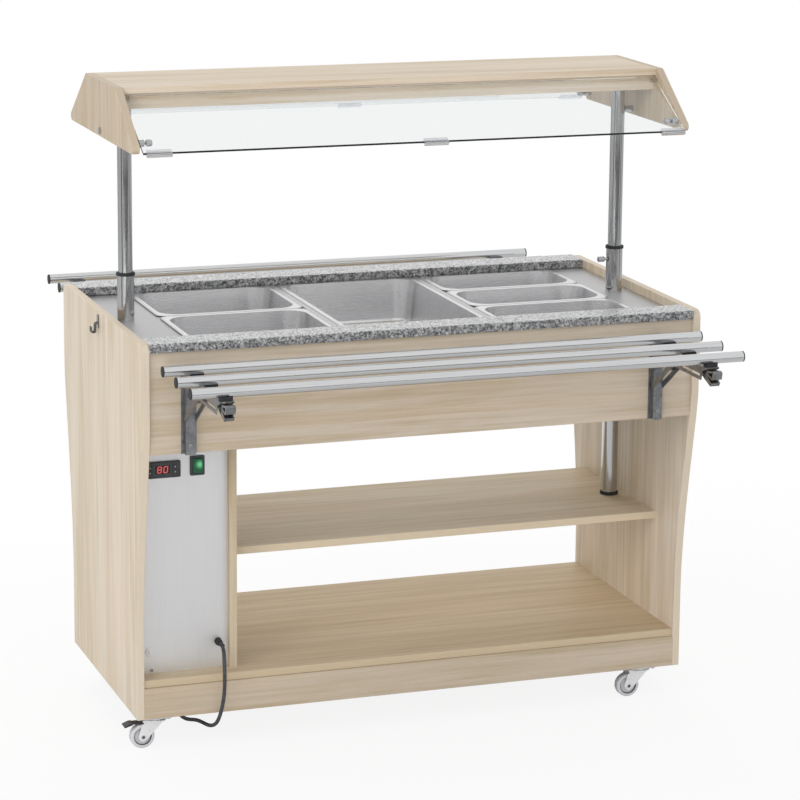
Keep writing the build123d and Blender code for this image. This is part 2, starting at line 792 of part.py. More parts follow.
def castor_fork(x, y, side):
    """Swivelling fork: crown disc, two tapering legs and the axle, which trails to one side."""
    axle_x = x + side * castor_trail
    with BuildPart() as fork:
        with BuildSketch(Plane.XY.offset(crown_bottom)):
            with Locations((x, y)):
                Circle(crown_diameter / 2)
                Circle(kingpin / 2 + running_fit, mode=Mode.SUBTRACT)
        extrude(amount=crown_thickness)
        for inner in (-leg_outer, leg_inner):
            with BuildSketch(Plane.XZ.offset(-(y + inner + leg_thickness))):
                with BuildLine():
                    CenterArc((axle_x, axle_z), axle + 1.5, 0, 360)
                    Line((axle_x, crown_top), (x - side * (crown_diameter / 2 - 5), crown_top))
                make_hull()
                with Locations((x - side * pedal_x, pedal_z)):
                    Circle(pedal_pin / 2 + running_fit, mode=Mode.SUBTRACT)
            extrude(amount=leg_thickness)
        with BuildSketch(Plane.XZ.offset(-(y + leg_outer))):
            with Locations((axle_x, axle_z)):
                Circle(axle / 2)
        extrude(amount=2 * leg_outer)
        with BuildSketch(Plane.XZ.offset(-(y + leg_outer))):
            with Locations((axle_x, axle_z)):
                RegularPolygon(axle * 0.8, 6)
        extrude(amount=-2)
        with BuildSketch(Plane.XZ.offset(-(y - leg_outer))):
            with Locations((axle_x, axle_z)):
                RegularPolygon(axle * 0.8, 6)
        extrude(amount=2)
    return fork


def castor_wheel(x, y, side):
    """Grey tread with a rounded shoulder, dished sides and a hub on the axle."""
    axle_x = x + side * castor_trail
    hub_half = leg_inner - 0.4
    plane = Plane(origin=(axle_x, y, axle_z), x_dir=(1, 0, 0), z_dir=(0, 0, 1))
    with BuildPart() as wheel:
        with BuildSketch(plane) as section:
            with BuildLine():
                Polyline(
                    (axle / 2 + running_fit, hub_half),
                    (axle, hub_half),
                    (axle + 1.5, wheel_width / 2 - 3),
                    (wheel_radius - 8, wheel_width / 2 - 3),
                    (wheel_radius - 7, wheel_width / 2),
                    (wheel_radius, wheel_width / 2),
                    (wheel_radius, 0),
                    (axle / 2 + running_fit, 0),
                    close=True,
                )
            make_face()
            shoulder = section.vertices().sort_by_distance((wheel_radius, wheel_width / 2, 0))[0]
            fillet(shoulder, wheel_round)
            mirror(about=Plane.XZ)
        revolve(axis=Axis((axle_x, y, axle_z), (0, 1, 0)))
    return wheel


def brake_pedal(x, y):
    """Black foot pedal above the wheel, with a broad tail beyond it."""
    tail = x - pedal_reach
    root = tail + pedal_tail
    with BuildPart() as pedal:
        with BuildSketch(Plane.XZ.offset(-(y + pedal_width / 2))):
            with Locations((x + pedal_x, pedal_z)):
                Circle(3)
            with BuildLine():
                Polyline(
                    (x + pedal_x, pedal_z - 2),
                    (x + pedal_x, pedal_z + 2),
                    (root, pedal_z + 1.5),
                    (root - 2, pedal_z - 2),
                    close=True,
                )
            make_face()
        extrude(amount=pedal_width)
        with BuildSketch(Plane.XZ.offset(-(y + pedal_tail_width / 2))):
            with BuildLine():
                Polyline(
                    (root - 1, pedal_z - 2),
                    (root, pedal_z + 1.5),
                    (root - 7, pedal_z + 1),
                    (tail, pedal_z - 4),
                    (tail + 1, pedal_z - 7),
                    close=True,
                )
            make_face()
        extrude(amount=pedal_tail_width)
        fillet(pedal.edges().filter_by(Axis.Y).sort_by(Axis.X)[0:2], 1.2)
        with BuildSketch(Plane.XZ.offset(-(y + leg_outer))):
            with Locations((x + pedal_x, pedal_z)):
                Circle(pedal_pin / 2)
        extrude(amount=2 * leg_outer)
    return pedal


for corner, (x, y) in corners.items():
    side = trail_sides[corner]
    save(castor_fork(x, y, side), f"castor_fork_{corner}")
    save(castor_wheel(x, y, side), f"castor_wheel_{corner}")
for corner in ("front_left", "rear_right"):
    x, y = corners[corner]
    save(brake_pedal(x, y), f"brake_pedal_{corner}")

# Bars between the pans: a raised strip that lands on the worktop and a ledge for the rims
with BuildPart() as pan_bars:
    bar_places = [(well_centre + side * pan_pitch / 2, 0) for side in (-1, 1)]
    with BuildSketch(Plane.XY.offset(worktop_z - sheet)):
        with Locations(*bar_places):
            Rectangle(bar_width + 2 * bar_ledge, 2 * (well_half_y - loose_fit))
    extrude(amount=sheet)
    with BuildSketch(Plane.XY.offset(worktop_z)):
        with Locations(*bar_places):
            Rectangle(bar_width, 2 * (well_half_y + bar_landing))
    extrude(amount=bar_height)
    chamfer(pan_bars.faces().sort_by(Axis.Z)[-2:].edges().filter_by(Axis.Y), 0.8)
save(pan_bars, "pan_bars")

pan_top = worktop_z + loose_fit + pan_lip


def pan_body(centre, size_x, size_y, corner, depth, bend):
    """Drafted tub with rounded corners and a rounded bottom edge."""
    with BuildPart() as tub:
        with BuildSketch(Plane.XY.offset(pan_top)):
            with Locations(centre):
                RectangleRounded(size_x, size_y, corner)
        extrude(amount=-depth, taper=pan_draft)
        fillet(tub.faces().sort_by(Axis.Z)[0].edges(), bend)
    return tub.part


def gn_pan(centre, size_x, size_y):
    """Pressed steel food pan: drafted walls, rolled rim with a turned-down lip."""
    body_x = size_x - 2 * pan_rim
    body_y = size_y - 2 * pan_rim
    wall = pan_wall
    hollow_corner = pan_corner - wall
    hollow_depth = pan_depth - wall
    tub = pan_body(centre, body_x, body_y, pan_corner, pan_depth, pan_bottom_bend)
    hollow_x = body_x - 2 * wall
    hollow_y = body_y - 2 * wall
    hollow = pan_body(centre, hollow_x, hollow_y, hollow_corner, hollow_depth, pan_bottom_bend - wall)
    with BuildPart() as pan:
        add(tub)
        with BuildSketch(Plane.XY.offset(pan_top - wall)):
            with Locations(centre):
                RectangleRounded(size_x, size_y, pan_rim_corner)
        extrude(amount=wall)
        add(hollow, mode=Mode.SUBTRACT)
        with BuildSketch(Plane.XY.offset(pan_top - pan_lip)):
            with Locations(centre):
                RectangleRounded(size_x, size_y, pan_rim_corner)
                inner = (size_x - 2 * wall, size_y - 2 * wall, pan_rim_corner - wall)
                RectangleRounded(*inner, mode=Mode.SUBTRACT)
        extrude(amount=pan_lip)
    return pan


left_column = well_centre - pan_pitch
right_column = well_centre + pan_pitch
half_length = (pan_length - pan_gap) / 2
third_length = (pan_length - 2 * pan_gap) / 3
half_shift = (half_length + pan_gap) / 2
third_shift = third_length + pan_gap
save(gn_pan((left_column, -half_shift), pan_width, half_length), "pan_half_front")
save(gn_pan((left_column, half_shift), pan_width, half_length), "pan_half_rear")
save(gn_pan((well_centre, 0), pan_width, pan_length), "pan_full")
save(gn_pan((right_column, -third_shift), pan_width, third_length), "pan_third_front")
save(gn_pan((right_column, 0), pan_width, third_length), "pan_third_middle")
save(gn_pan((right_column, third_shift), pan_width, third_length), "pan_third_rear")

# Hood cheeks
with BuildPart() as hood_cheeks:
    with BuildSketch(Plane.YZ.offset(hood_inner)) as cheek_outline:
        with BuildLine():
            Polyline(
                (-cheek_top_half, hood_top_height),
                (cheek_top_half, hood_top_height),
                (cheek_bottom_half, cheek_bottom),
                (-cheek_bottom_half, cheek_bottom),
                close=True,
            )
        make_face()
        fillet(cheek_outline.vertices().group_by(Axis.Z)[0], cheek_corner)
    extrude(amount=board)
    with BuildSketch(Plane.YZ.offset(hood_inner)):
        with Locations((glass_axis_y, glass_axis_z), (-glass_axis_y, glass_axis_z)):
            Circle(pivot_diameter / 2 + running_fit)
    extrude(amount=board - 5, mode=Mode.SUBTRACT)
    chamfer(hood_cheeks.faces().sort_by(Axis.X)[-1].edges(), edge_break)
    mirror(about=Plane.YZ)
save(hood_cheeks, "hood_cheeks")

# Hood top board with a bare fascia rail inside each glass
with BuildPart() as hood_top:
    with BuildSketch(Plane.XY.offset(hood_underside)):
        Rectangle(2 * hood_inner, 2 * cheek_top_half - 2)
    extrude(amount=hood_board)
    chamfer(hood_top.edges().filter_by(Axis.X), edge_break)
    with BuildSketch(Plane.XY.offset(rail_bottom)):
        with Locations((0, board / 2 - rail_face), (0, rail_face - board / 2)):
            Rectangle(2 * hood_inner, board)
    extrude(amount=hood_underside - rail_bottom)
save(hood_top, "hood_top")

# Inner post tubes that carry the hood
with BuildPart() as hood_posts:
    with BuildSketch(Plane.XY.offset(post_bottom)):
        with Locations((-post_x, 0), (post_x, 0)):
            Circle(post_radius)
            Circle(post_radius - post_wall, mode=Mode.SUBTRACT)
    extrude(amount=hood_underside - post_bottom)
save(hood_posts, "hood_posts")

# Front glass on its own slanted plane, hinged along the top edge
slope_y = glass_foot_y - glass_axis_y
slope_z = glass_foot_z - glass_axis_z
glass_length = hypot(slope_y, slope_z)
glass_plane = Plane(
    origin=(0, glass_axis_y, glass_axis_z),
    x_dir=(1, 0, 0),
    z_dir=(0, slope_z / glass_length, -slope_y / glass_length),
)
glass_half = hood_inner - glass_side_gap
with BuildPart() as glass_front:
    with BuildSketch(glass_plane):
        with Locations((0, (glass_back - glass_length) / 2)):
            Rectangle(2 * glass_half, glass_length + glass_back)
    extrude(amount=glass / 2, both=True)
    chamfer(glass_front.edges().filter_by(Axis.X), edge_break)
save(glass_front, "glass_front")
save(rear_twin(glass_front), "glass_rear")

# Clear grips on the lower edge, and clamp blocks with pivot pins at the upper corners
grip_half = glass / 2 + grip_wall
slot_half = glass / 2 + 0.2
grip_x = (-556.0, 30.0, 560.0)
block_half = 4.6
block_end = hood_inner - loose_fit
with BuildPart() as glass_fittings_front:
    with BuildSketch(glass_plane):
        with Locations(*[(x, -glass_length) for x in grip_x]):
            Rectangle(grip_length, 2 * grip_reach)
        for side in (-1, 1):
            with Locations((side * (block_end - pivot_block / 2), -1 - pivot_block / 2)):
                Rectangle(pivot_block, pivot_block)
    extrude(amount=block_half, both=True)
    chamfer(glass_fittings_front.edges().filter_by(Axis.X).group_by(Axis.Z)[0], 2)
    with BuildSketch(glass_plane):
        with Locations((0, -glass_length / 2 + loose_fit)):
            Rectangle(2 * glass_half + 0.5, glass_length + 2 * loose_fit)
    extrude(amount=slot_half, both=True, mode=Mode.SUBTRACT)
    for side in (-1, 1):
        with BuildSketch(Plane.YZ.offset(side * (block_end - 1.4))):
            with Locations((glass_axis_y, glass_axis_z)):
                Circle(pivot_diameter / 2)
        extrude(amount=side * 11)
save(glass_fittings_front, "glass_fittings_front")
save(rear_twin(glass_fittings_front), "glass_fittings_rear")

# Rest buffers under the glass, and the bolts that hold the posts to the cheeks
rest_centre = glass_plane.from_local_coords(
    Vector(0, -rest_distance, -(glass / 2 + rest_diameter / 2 + loose_fit))
)
with BuildPart() as glass_rests:
    for side in (-1, 1):
        with BuildSketch(Plane.YZ.offset(side * hood_inner)):
            with Locations((rest_centre.Y, rest_centre.Z), (-rest_centre.Y, rest_centre.Z)):
                Circle(rest_diameter / 2)
        extrude(amount=-side * rest_length)
        with BuildSketch(Plane.YZ.offset(side * hood_inner)):
            with Locations((0, bolt_z)):
                Circle(bolt_head / 2)
        extrude(amount=-side * (hood_inner - post_x - post_radius - 0.1))
        with BuildSketch(Plane.YZ.offset(side * hood_length / 2)):
            with Locations((0, bolt_z)):
                Circle(bolt_head / 2)
        extrude(amount=side * 3)
save(glass_rests, "glass_rests")

# Thumb screw that clamps the right post
knob_start = post_x - sleeve_radius - screw_shank_gap
with BuildPart() as height_screw:
    with BuildSketch(Plane.YZ.offset(post_x - post_radius - sliding_fit)):
        with Locations((0, screw_height)):
            Circle(screw_diameter / 2)
    extrude(amount=knob_start - (post_x - post_radius - sliding_fit))
    with BuildSketch(Plane.YZ.offset(knob_start)):
        with Locations((0, screw_height)):
            Circle(screw_knob / 2)
            with PolarLocations(screw_knob / 2 + 0.6, 12):
                Circle(1.3, mode=Mode.SUBTRACT)
    extrude(amount=-screw_knob_length)
save(height_screw, "height_screw")

# Tray tubes
tube_half = tube_length / 2 - cap_thickness
with BuildPart() as tray_tubes_front:
    with BuildSketch(Plane.YZ.offset(-tube_half)):
        with Locations(*[(-row, tube_z) for row in tube_rows]):
            Circle(tube_radius)
            Circle(tube_radius - tube_wall, mode=Mode.SUBTRACT)
    extrude(amount=2 * tube_half)
save(tray_tubes_front, "tray_tubes_front")
save(rear_twin(tray_tubes_front), "tray_tubes_rear")

# Black end caps of the tubes and the saddles between tubes and arms
with BuildPart() as tray_plastics_front:
    for side in (-1, 1):
        with BuildSketch(Plane.YZ.offset(side * tube_half)):
            with Locations(*[(-row, tube_z) for row in tube_rows]):
                Circle(tube_radius)
        extrude(amount=side * cap_thickness)
        with BuildSketch(Plane.YZ.offset(side * tube_half)):
            with Locations(*[(-row, tube_z) for row in tube_rows]):
                Circle(tube_radius - tube_wall - running_fit)
        extrude(amount=-side * cap_spigot)
        with BuildSketch(Plane.YZ.offset(side * bracket_x - seat_width / 2)):
            with Locations(*[(-row, arm_top + seat_rise / 2) for row in tube_rows]):
                Rectangle(seat_depth, seat_rise)
            with Locations(*[(-row, tube_z) for row in tube_rows]):
                Circle(tube_radius + running_fit, mode=Mode.SUBTRACT)
        extrude(amount=seat_width)
save(tray_plastics_front, "tray_plastics_front")
save(rear_twin(tray_plastics_front), "tray_plastics_rear")

# Folding arms under the tubes: a channel with a slot for the strut and a hinge pin
arm_bottom = arm_top - arm_depth
slot_start = -(hinge_y - strut_reach)
strut_side_step = strut_pivot_y - hinge_y - (hinge_z - strut_slot_z)
strut_folded = strut_pivot_z - sqrt(strut_length**2 - strut_side_step**2)
slot_end = -hinge_y + hinge_z - strut_folded
with BuildPart() as tray_arms_front:
    for side in (-1, 1):
        left_face = side * bracket_x - arm_width / 2
        with BuildSketch(Plane.YZ.offset(left_face)) as arm_outline:
            with BuildLine():
                Polyline(
                    (arm_root_y, arm_top - 2),
                    (arm_root_y, hinge_z - 8),
                    (arm_web_y, arm_bottom),
                    (arm_end_y + 6, arm_bottom),
                    (arm_end_y, hinge_z),
                    (arm_nose_y, arm_top - 4),
                    (arm_nose_y, arm_top),
                    (arm_root_y - 4, arm_top),
                    close=True,
                )
            make_face()
        extrude(amount=arm_width)
        with BuildSketch(Plane.YZ.offset(left_face + arm_wall)):
            with BuildLine():
                Polyline(
                    (arm_root_y + 1, arm_bottom - 1),
                    (arm_root_y + 1, arm_top + 1),
                    (arm_web_y, arm_top + 1),
                    (arm_web_y, arm_top - 2),
                    (arm_nose_y - 1, arm_top - 2),
                    (arm_nose_y - 1, arm_bottom - 1),
                    close=True,
                )
            make_face()
        extrude(amount=arm_width - 2 * arm_wall, mode=Mode.SUBTRACT)
        with BuildSketch(Plane.YZ.offset(left_face)):
            with Locations((-(slot_start + slot_end) / 2, strut_slot_z)):
                SlotCenterToCenter(slot_end - slot_start, strut_pin + 1)
            with Locations((lever_pivot_y, lever_pivot_z)):
                Circle(lever_pin / 2 + running_fit)
        extrude(amount=arm_width, mode=Mode.SUBTRACT)
        with BuildSketch(Plane.YZ.offset(left_face - 1.5)):
            with Locations((hinge_y, hinge_z)):
                Circle(hinge_pin / 2)
        extrude(amount=arm_width + 3)
        for head_x, step in ((left_face, -1.5), (left_face + arm_width, 1.5)):
            with BuildSketch(Plane.YZ.offset(head_x)):
                with Locations((hinge_y, hinge_z)):
                    Circle(hinge_pin / 2 + 2)
            extrude(amount=step)
save(tray_arms_front, "tray_arms_front")
save(rear_twin(tray_arms_front), "tray_arms_rear")

# Struts: two flat legs astride the wall rail, joined by a web above
strut_dir = (
    (hinge_y - strut_reach - strut_pivot_y) / strut_length,
    (strut_slot_z - strut_pivot_z) / strut_length,
)
leg_in = rail_channel / 2 + 0.4
leg_out = leg_in + strut_wall


def strut_plane(x):
    """Plane of one strut leg: local x runs from the wall pivot to the arm pin."""
    return Plane(
        origin=(x, strut_pivot_y, strut_pivot_z), x_dir=(0, strut_dir[0], strut_dir[1]), z_dir=(1, 0, 0)
    )


with BuildPart() as tray_struts_front:
    for side in (-1, 1):
        for leg in (side * bracket_x - leg_out, side * bracket_x + leg_in):
            with BuildSketch(strut_plane(leg)):
                with Locations((strut_length / 2, 0)):
                    SlotCenterToCenter(strut_length, 2 * strut_half_width)
            extrude(amount=strut_wall)
        web_length = strut_length - strut_web_start - strut_half_width - 4
        with BuildSketch(strut_plane(side * bracket_x - leg_out)):
            with Locations((strut_web_start + web_length / 2, strut_wall / 2 - strut_half_width)):
                Rectangle(web_length, strut_wall)
        extrude(amount=2 * leg_out)
        for foot_x in (0, strut_length):
            with BuildSketch(strut_plane(side * bracket_x - leg_out - 1)):
                with Locations((foot_x, 0)):
                    Circle(strut_pin / 2)
            extrude(amount=2 * leg_out + 2)
save(tray_struts_front, "tray_struts_front")
save(rear_twin(tray_struts_front), "tray_struts_rear")

# Release levers at the arm ends: an open loop above a short prong
lever_tip_y = lever_pivot_y - lever_reach
with BuildPart() as tray_levers_front:
    for side in (-1, 1):
        with BuildSketch(Plane.YZ.offset(side * bracket_x - lever_width / 2)):
            with BuildLine():
                Polyline(
                    (lever_pivot_y + 4, lever_pivot_z + 5),
                    (lever_tip_y + 6, lever_pivot_z + 12),
                    (lever_tip_y, lever_pivot_z + 8),
                    (lever_tip_y + 3, lever_pivot_z - 5),
                    (lever_tip_y + 9, lever_pivot_z - 7),
                    (lever_pivot_y - 20, lever_pivot_z - 1),
                    (lever_tip_y + 10, lever_pivot_z - 14),
                    (lever_tip_y + 15, lever_pivot_z - 21),
                    (lever_pivot_y - 6, lever_pivot_z - 10),
                    (lever_pivot_y + 4, lever_pivot_z - 5),
                    close=True,
                )
            make_face()
            with BuildLine():
                Polyline(
                    (lever_pivot_y - 24, lever_pivot_z + 4),
                    (lever_tip_y + 7, lever_pivot_z + 7.5),
                    (lever_tip_y + 8, lever_pivot_z - 2),
                    close=True,
                )
            make_face(mode=Mode.SUBTRACT)
        extrude(amount=lever_width)
        with BuildSketch(Plane.YZ.offset(side * bracket_x - arm_width / 2)):
            with Locations((lever_pivot_y, lever_pivot_z)):
                Circle(lever_pin / 2)
        extrude(amount=arm_width)
save(tray_levers_front, "tray_levers_front")
save(rear_twin(tray_levers_front), "tray_levers_rear")

# Free stretch of the mains lead: out of the gland, down the front, back under the plinth
cord_radius = cord / 2
coil_start = (coil_x - coil_outer_radius, coil_y - coil_lead_in, cord_radius)
lead_route = [
    (gland_x, panel_plane - gland_reach, gland_z),
    (gland_x, panel_plane - gland_reach - 21, gland_z),
    (gland_x - 2.5, -281.5, 200.5),
    (gland_x - 6, -296.5, 186),
    (gland_x - 7.5, -304.5, 166),
    (gland_x - 8, -306, 143),
    (gland_x - 8.5, -304.5, 119),
    (gland_x - 10.5, -300.5, 95),
    (gland_x - 14, -295, 72),
    (gland_x - 17.5, -284, 51),
    (gland_x - 21.5, -267, 38),
    (gland_x - 26, -244, 31),
    (gland_x - 30, -219, 29),
    (gland_x - 33.5, -194, 26),
    (gland_x - 36.5, -170, 20.5),
    (gland_x - 39, -147, 13.5),
    (gland_x - 41.4, -124.5, 7.6),
    (gland_x - 43.2, -101.5, 4.5),
    (coil_start[0] + 0.2, -76.5, cord_radius),
    (coil_start[0], coil_start[1] - 26.5, cord_radius),
    coil_start,
]


def corner_radii(points):
    """Largest radii that keep each rounded corner inside 0.45 of its shorter run."""
    radii = []
    for before, here, after in zip(points, points[1:], points[2:]):
        run_in = Vector(*here) - Vector(*before)
        run_out = Vector(*after) - Vector(*here)
        half_turn = radians(run_in.get_angle(run_out)) / 2
        radii.append(0.45 * min(run_in.length, run_out.length) / tan(half_turn))
    return radii


lead_radii = corner_radii(lead_route)
print("lead radii", [round(r) for r in lead_radii])
with BuildPart() as mains_lead:
    with BuildLine() as lead_path:
        FilletPolyline(*lead_route, radius=lead_radii)
    with BuildSketch(Plane(origin=lead_route[0], z_dir=(lead_path.wire() % 0))) as lead_section:
        Circle(cord_radius)
    sweep(path=lead_path.wire())
lead_length = lead_path.wire().length
lead_volume = lead_section.sketch.area * lead_length
print("lead length", round(lead_length, 1))
print("lead volume over section times length", round(mains_lead.part.volume / lead_volume, 5))
save(mains_lead, "mains_lead")

# Coil of the remaining lead: spirals in on the floor, climbs one layer, spirals out above
half_turns = coil_half_turns_in + 1 + coil_half_turns_out
coil_nodes = []
for k in range(half_turns + 1):
    if k <= coil_half_turns_in:
        radius = coil_outer_radius - coil_step * k
        layer = 0
    else:
        radius = coil_outer_radius - coil_step * (2 * coil_half_turns_in + 1 - k)
        layer = 1
    facing = -1 if k % 2 == 0 else 1
    coil_nodes.append((coil_x + facing * radius, coil_y, cord_radius + layer * coil_lift))
with BuildPart() as lead_coil:
    with BuildLine() as coil_path:
        Line(coil_start, coil_nodes[0])
        for k in range(half_turns):
            start = Vector(*coil_nodes[k])
            stop = Vector(*coil_nodes[k + 1])
            heading = Vector(0, 1 if k % 2 == 0 else -1, 0)
            middle = (start + stop) * 0.5 + heading * ((stop - start).length / 2)
            first = TangentArc(start, middle, tangent=heading)
            TangentArc(middle, stop, tangent=first % 1)
        Line(coil_nodes[-1], Vector(*coil_nodes[-1]) + Vector(0, coil_lead_out, 0))
    with BuildSketch(Plane(origin=coil_start, z_dir=(0, 1, 0))):
        Circle(cord_radius)
    sweep(path=coil_path.wire())
coil_wire = coil_path.wire()
coil_length = coil_wire.length
print("coil length", round(coil_length, 1), "total", round(lead_length + coil_length, 1))
samples = 700
points = [coil_wire.position_at(i / samples) for i in range(samples + 1)]
spacing = coil_length / samples
skip = int(40 / spacing)
least = min(
    (points[i] - points[j]).length for i in range(samples + 1) for j in range(i + skip, samples + 1)
)
print("coil least gap to itself", round(least - cord, 3))
save(lead_coil, "lead_coil")

# Moulded plug lying beside the coil
plug_start = coil_nodes[-1][1] + coil_lead_out
plug_x = coil_nodes[-1][0]
plug_z = coil_nodes[-1][2]
boot_end = plug_start + plug_boot
with BuildPart() as plug:
    with BuildSketch(Plane.XZ.offset(-plug_start)):
        with Locations((plug_x, plug_z)):
            Circle(cord_radius + 1.2)
    with BuildSketch(Plane.XZ.offset(-boot_end)):
        with Locations((plug_x, plug_z)):
            Circle(cord_radius + 4)
    loft()
    with BuildSketch(Plane.XZ.offset(-boot_end)):
        with Locations((plug_x, plug_z)):
            RectangleRounded(plug_width - 8, 2 * plug_z - 6, 5)
    with BuildSketch(Plane.XZ.offset(-(boot_end + plug_body / 2))):
        with Locations((plug_x, plug_z)):
            RectangleRounded(plug_width, 2 * plug_z, 6)
    loft()
    with BuildSketch(Plane.XZ.offset(-(boot_end + plug_body / 2))):
        with Locations((plug_x, plug_z)):
            RectangleRounded(plug_width, 2 * plug_z, 6)
    extrude(amount=-plug_body / 2)
    with BuildSketch(Plane.XZ.offset(-(boot_end + plug_body))):
        for pin_x, pin_z, turn in ((-7, 3, 30), (7, 3, -30), (0, -6, 0)):
            with Locations(Location((plug_x + pin_x, plug_z + pin_z, 0), (0, 0, turn))):
                Rectangle(1.6, 6.2)
    extrude(amount=-plug_pin_length)
save(plug, "plug")
print("strut length", round(strut_length, 2), "slot", round(slot_start, 1), round(slot_end, 1))
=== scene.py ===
"""Finishes, small fittings, the mains lead and the studio for the heated buffet cart.

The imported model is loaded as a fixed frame. Each sub-assembly of the cart has a class that
gives finishes to the frame's nodes and models the small pieces that sit on them. Before those
come the finishes and the bench work that they share, and after them the studio.
"""

import json
import logging
import math
from collections.abc import Iterable
from dataclasses import dataclass
from enum import Enum

import bpy
from mathutils import Matrix, Vector

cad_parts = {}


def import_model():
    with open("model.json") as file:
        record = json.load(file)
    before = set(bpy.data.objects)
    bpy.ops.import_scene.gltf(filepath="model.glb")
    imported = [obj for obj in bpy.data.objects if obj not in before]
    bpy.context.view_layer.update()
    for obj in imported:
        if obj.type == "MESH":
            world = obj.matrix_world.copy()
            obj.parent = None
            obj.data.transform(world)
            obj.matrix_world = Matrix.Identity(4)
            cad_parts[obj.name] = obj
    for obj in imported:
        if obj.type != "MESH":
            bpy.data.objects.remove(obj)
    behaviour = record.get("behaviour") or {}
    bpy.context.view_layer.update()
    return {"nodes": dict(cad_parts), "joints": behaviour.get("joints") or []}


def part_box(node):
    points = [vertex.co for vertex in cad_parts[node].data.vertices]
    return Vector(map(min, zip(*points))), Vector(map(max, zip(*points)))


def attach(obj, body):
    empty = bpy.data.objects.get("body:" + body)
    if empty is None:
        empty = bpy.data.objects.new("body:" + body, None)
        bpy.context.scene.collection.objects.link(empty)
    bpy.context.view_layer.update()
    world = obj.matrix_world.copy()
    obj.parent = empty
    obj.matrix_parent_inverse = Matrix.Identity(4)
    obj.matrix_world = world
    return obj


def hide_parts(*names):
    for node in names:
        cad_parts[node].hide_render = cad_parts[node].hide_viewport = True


MM = 0.001
IMAGE_SIDE = 800
SENSOR_WIDTH = 36.0
SHARP_ANGLE = math.radians(35)
SMOOTH_ANGLE = math.radians(32)

log = logging.getLogger("buffet_cart")

Colour = tuple[float, float, float]
Point = tuple[float, float, float]


def srgb(red: int, green: int, blue: int) -> Colour:
    """Turns a screen colour into the linear colour that shaders read.

    Args:
        red: Red from 0 to 255.
        green: Green from 0 to 255.
        blue: Blue from 0 to 255.

    Returns:
        The same colour in linear light.
    """

    def linear(value: int) -> float:
        """Linear light of one channel."""
        share = value / 255
        return share / 12.92 if share <= 0.04045 else ((share + 0.055) / 1.055) ** 2.4

    return linear(red), linear(green), linear(blue)


class Axis(Enum):
    """Directions of the cart: along it, across it and up."""

    LENGTH = 0
    DEPTH = 1
    HEIGHT = 2

    def stretched(self, along: float, across: float) -> Point:
        """One value along this direction and another on the other two."""
        values = [across, across, across]
        values[self.value] = along
        return values[0], values[1], values[2]

    def vector(self, sign: float) -> Vector:
        """Unit vector up this direction for 1, or down it for -1."""
        return Vector(self.stretched(sign, 0.0))


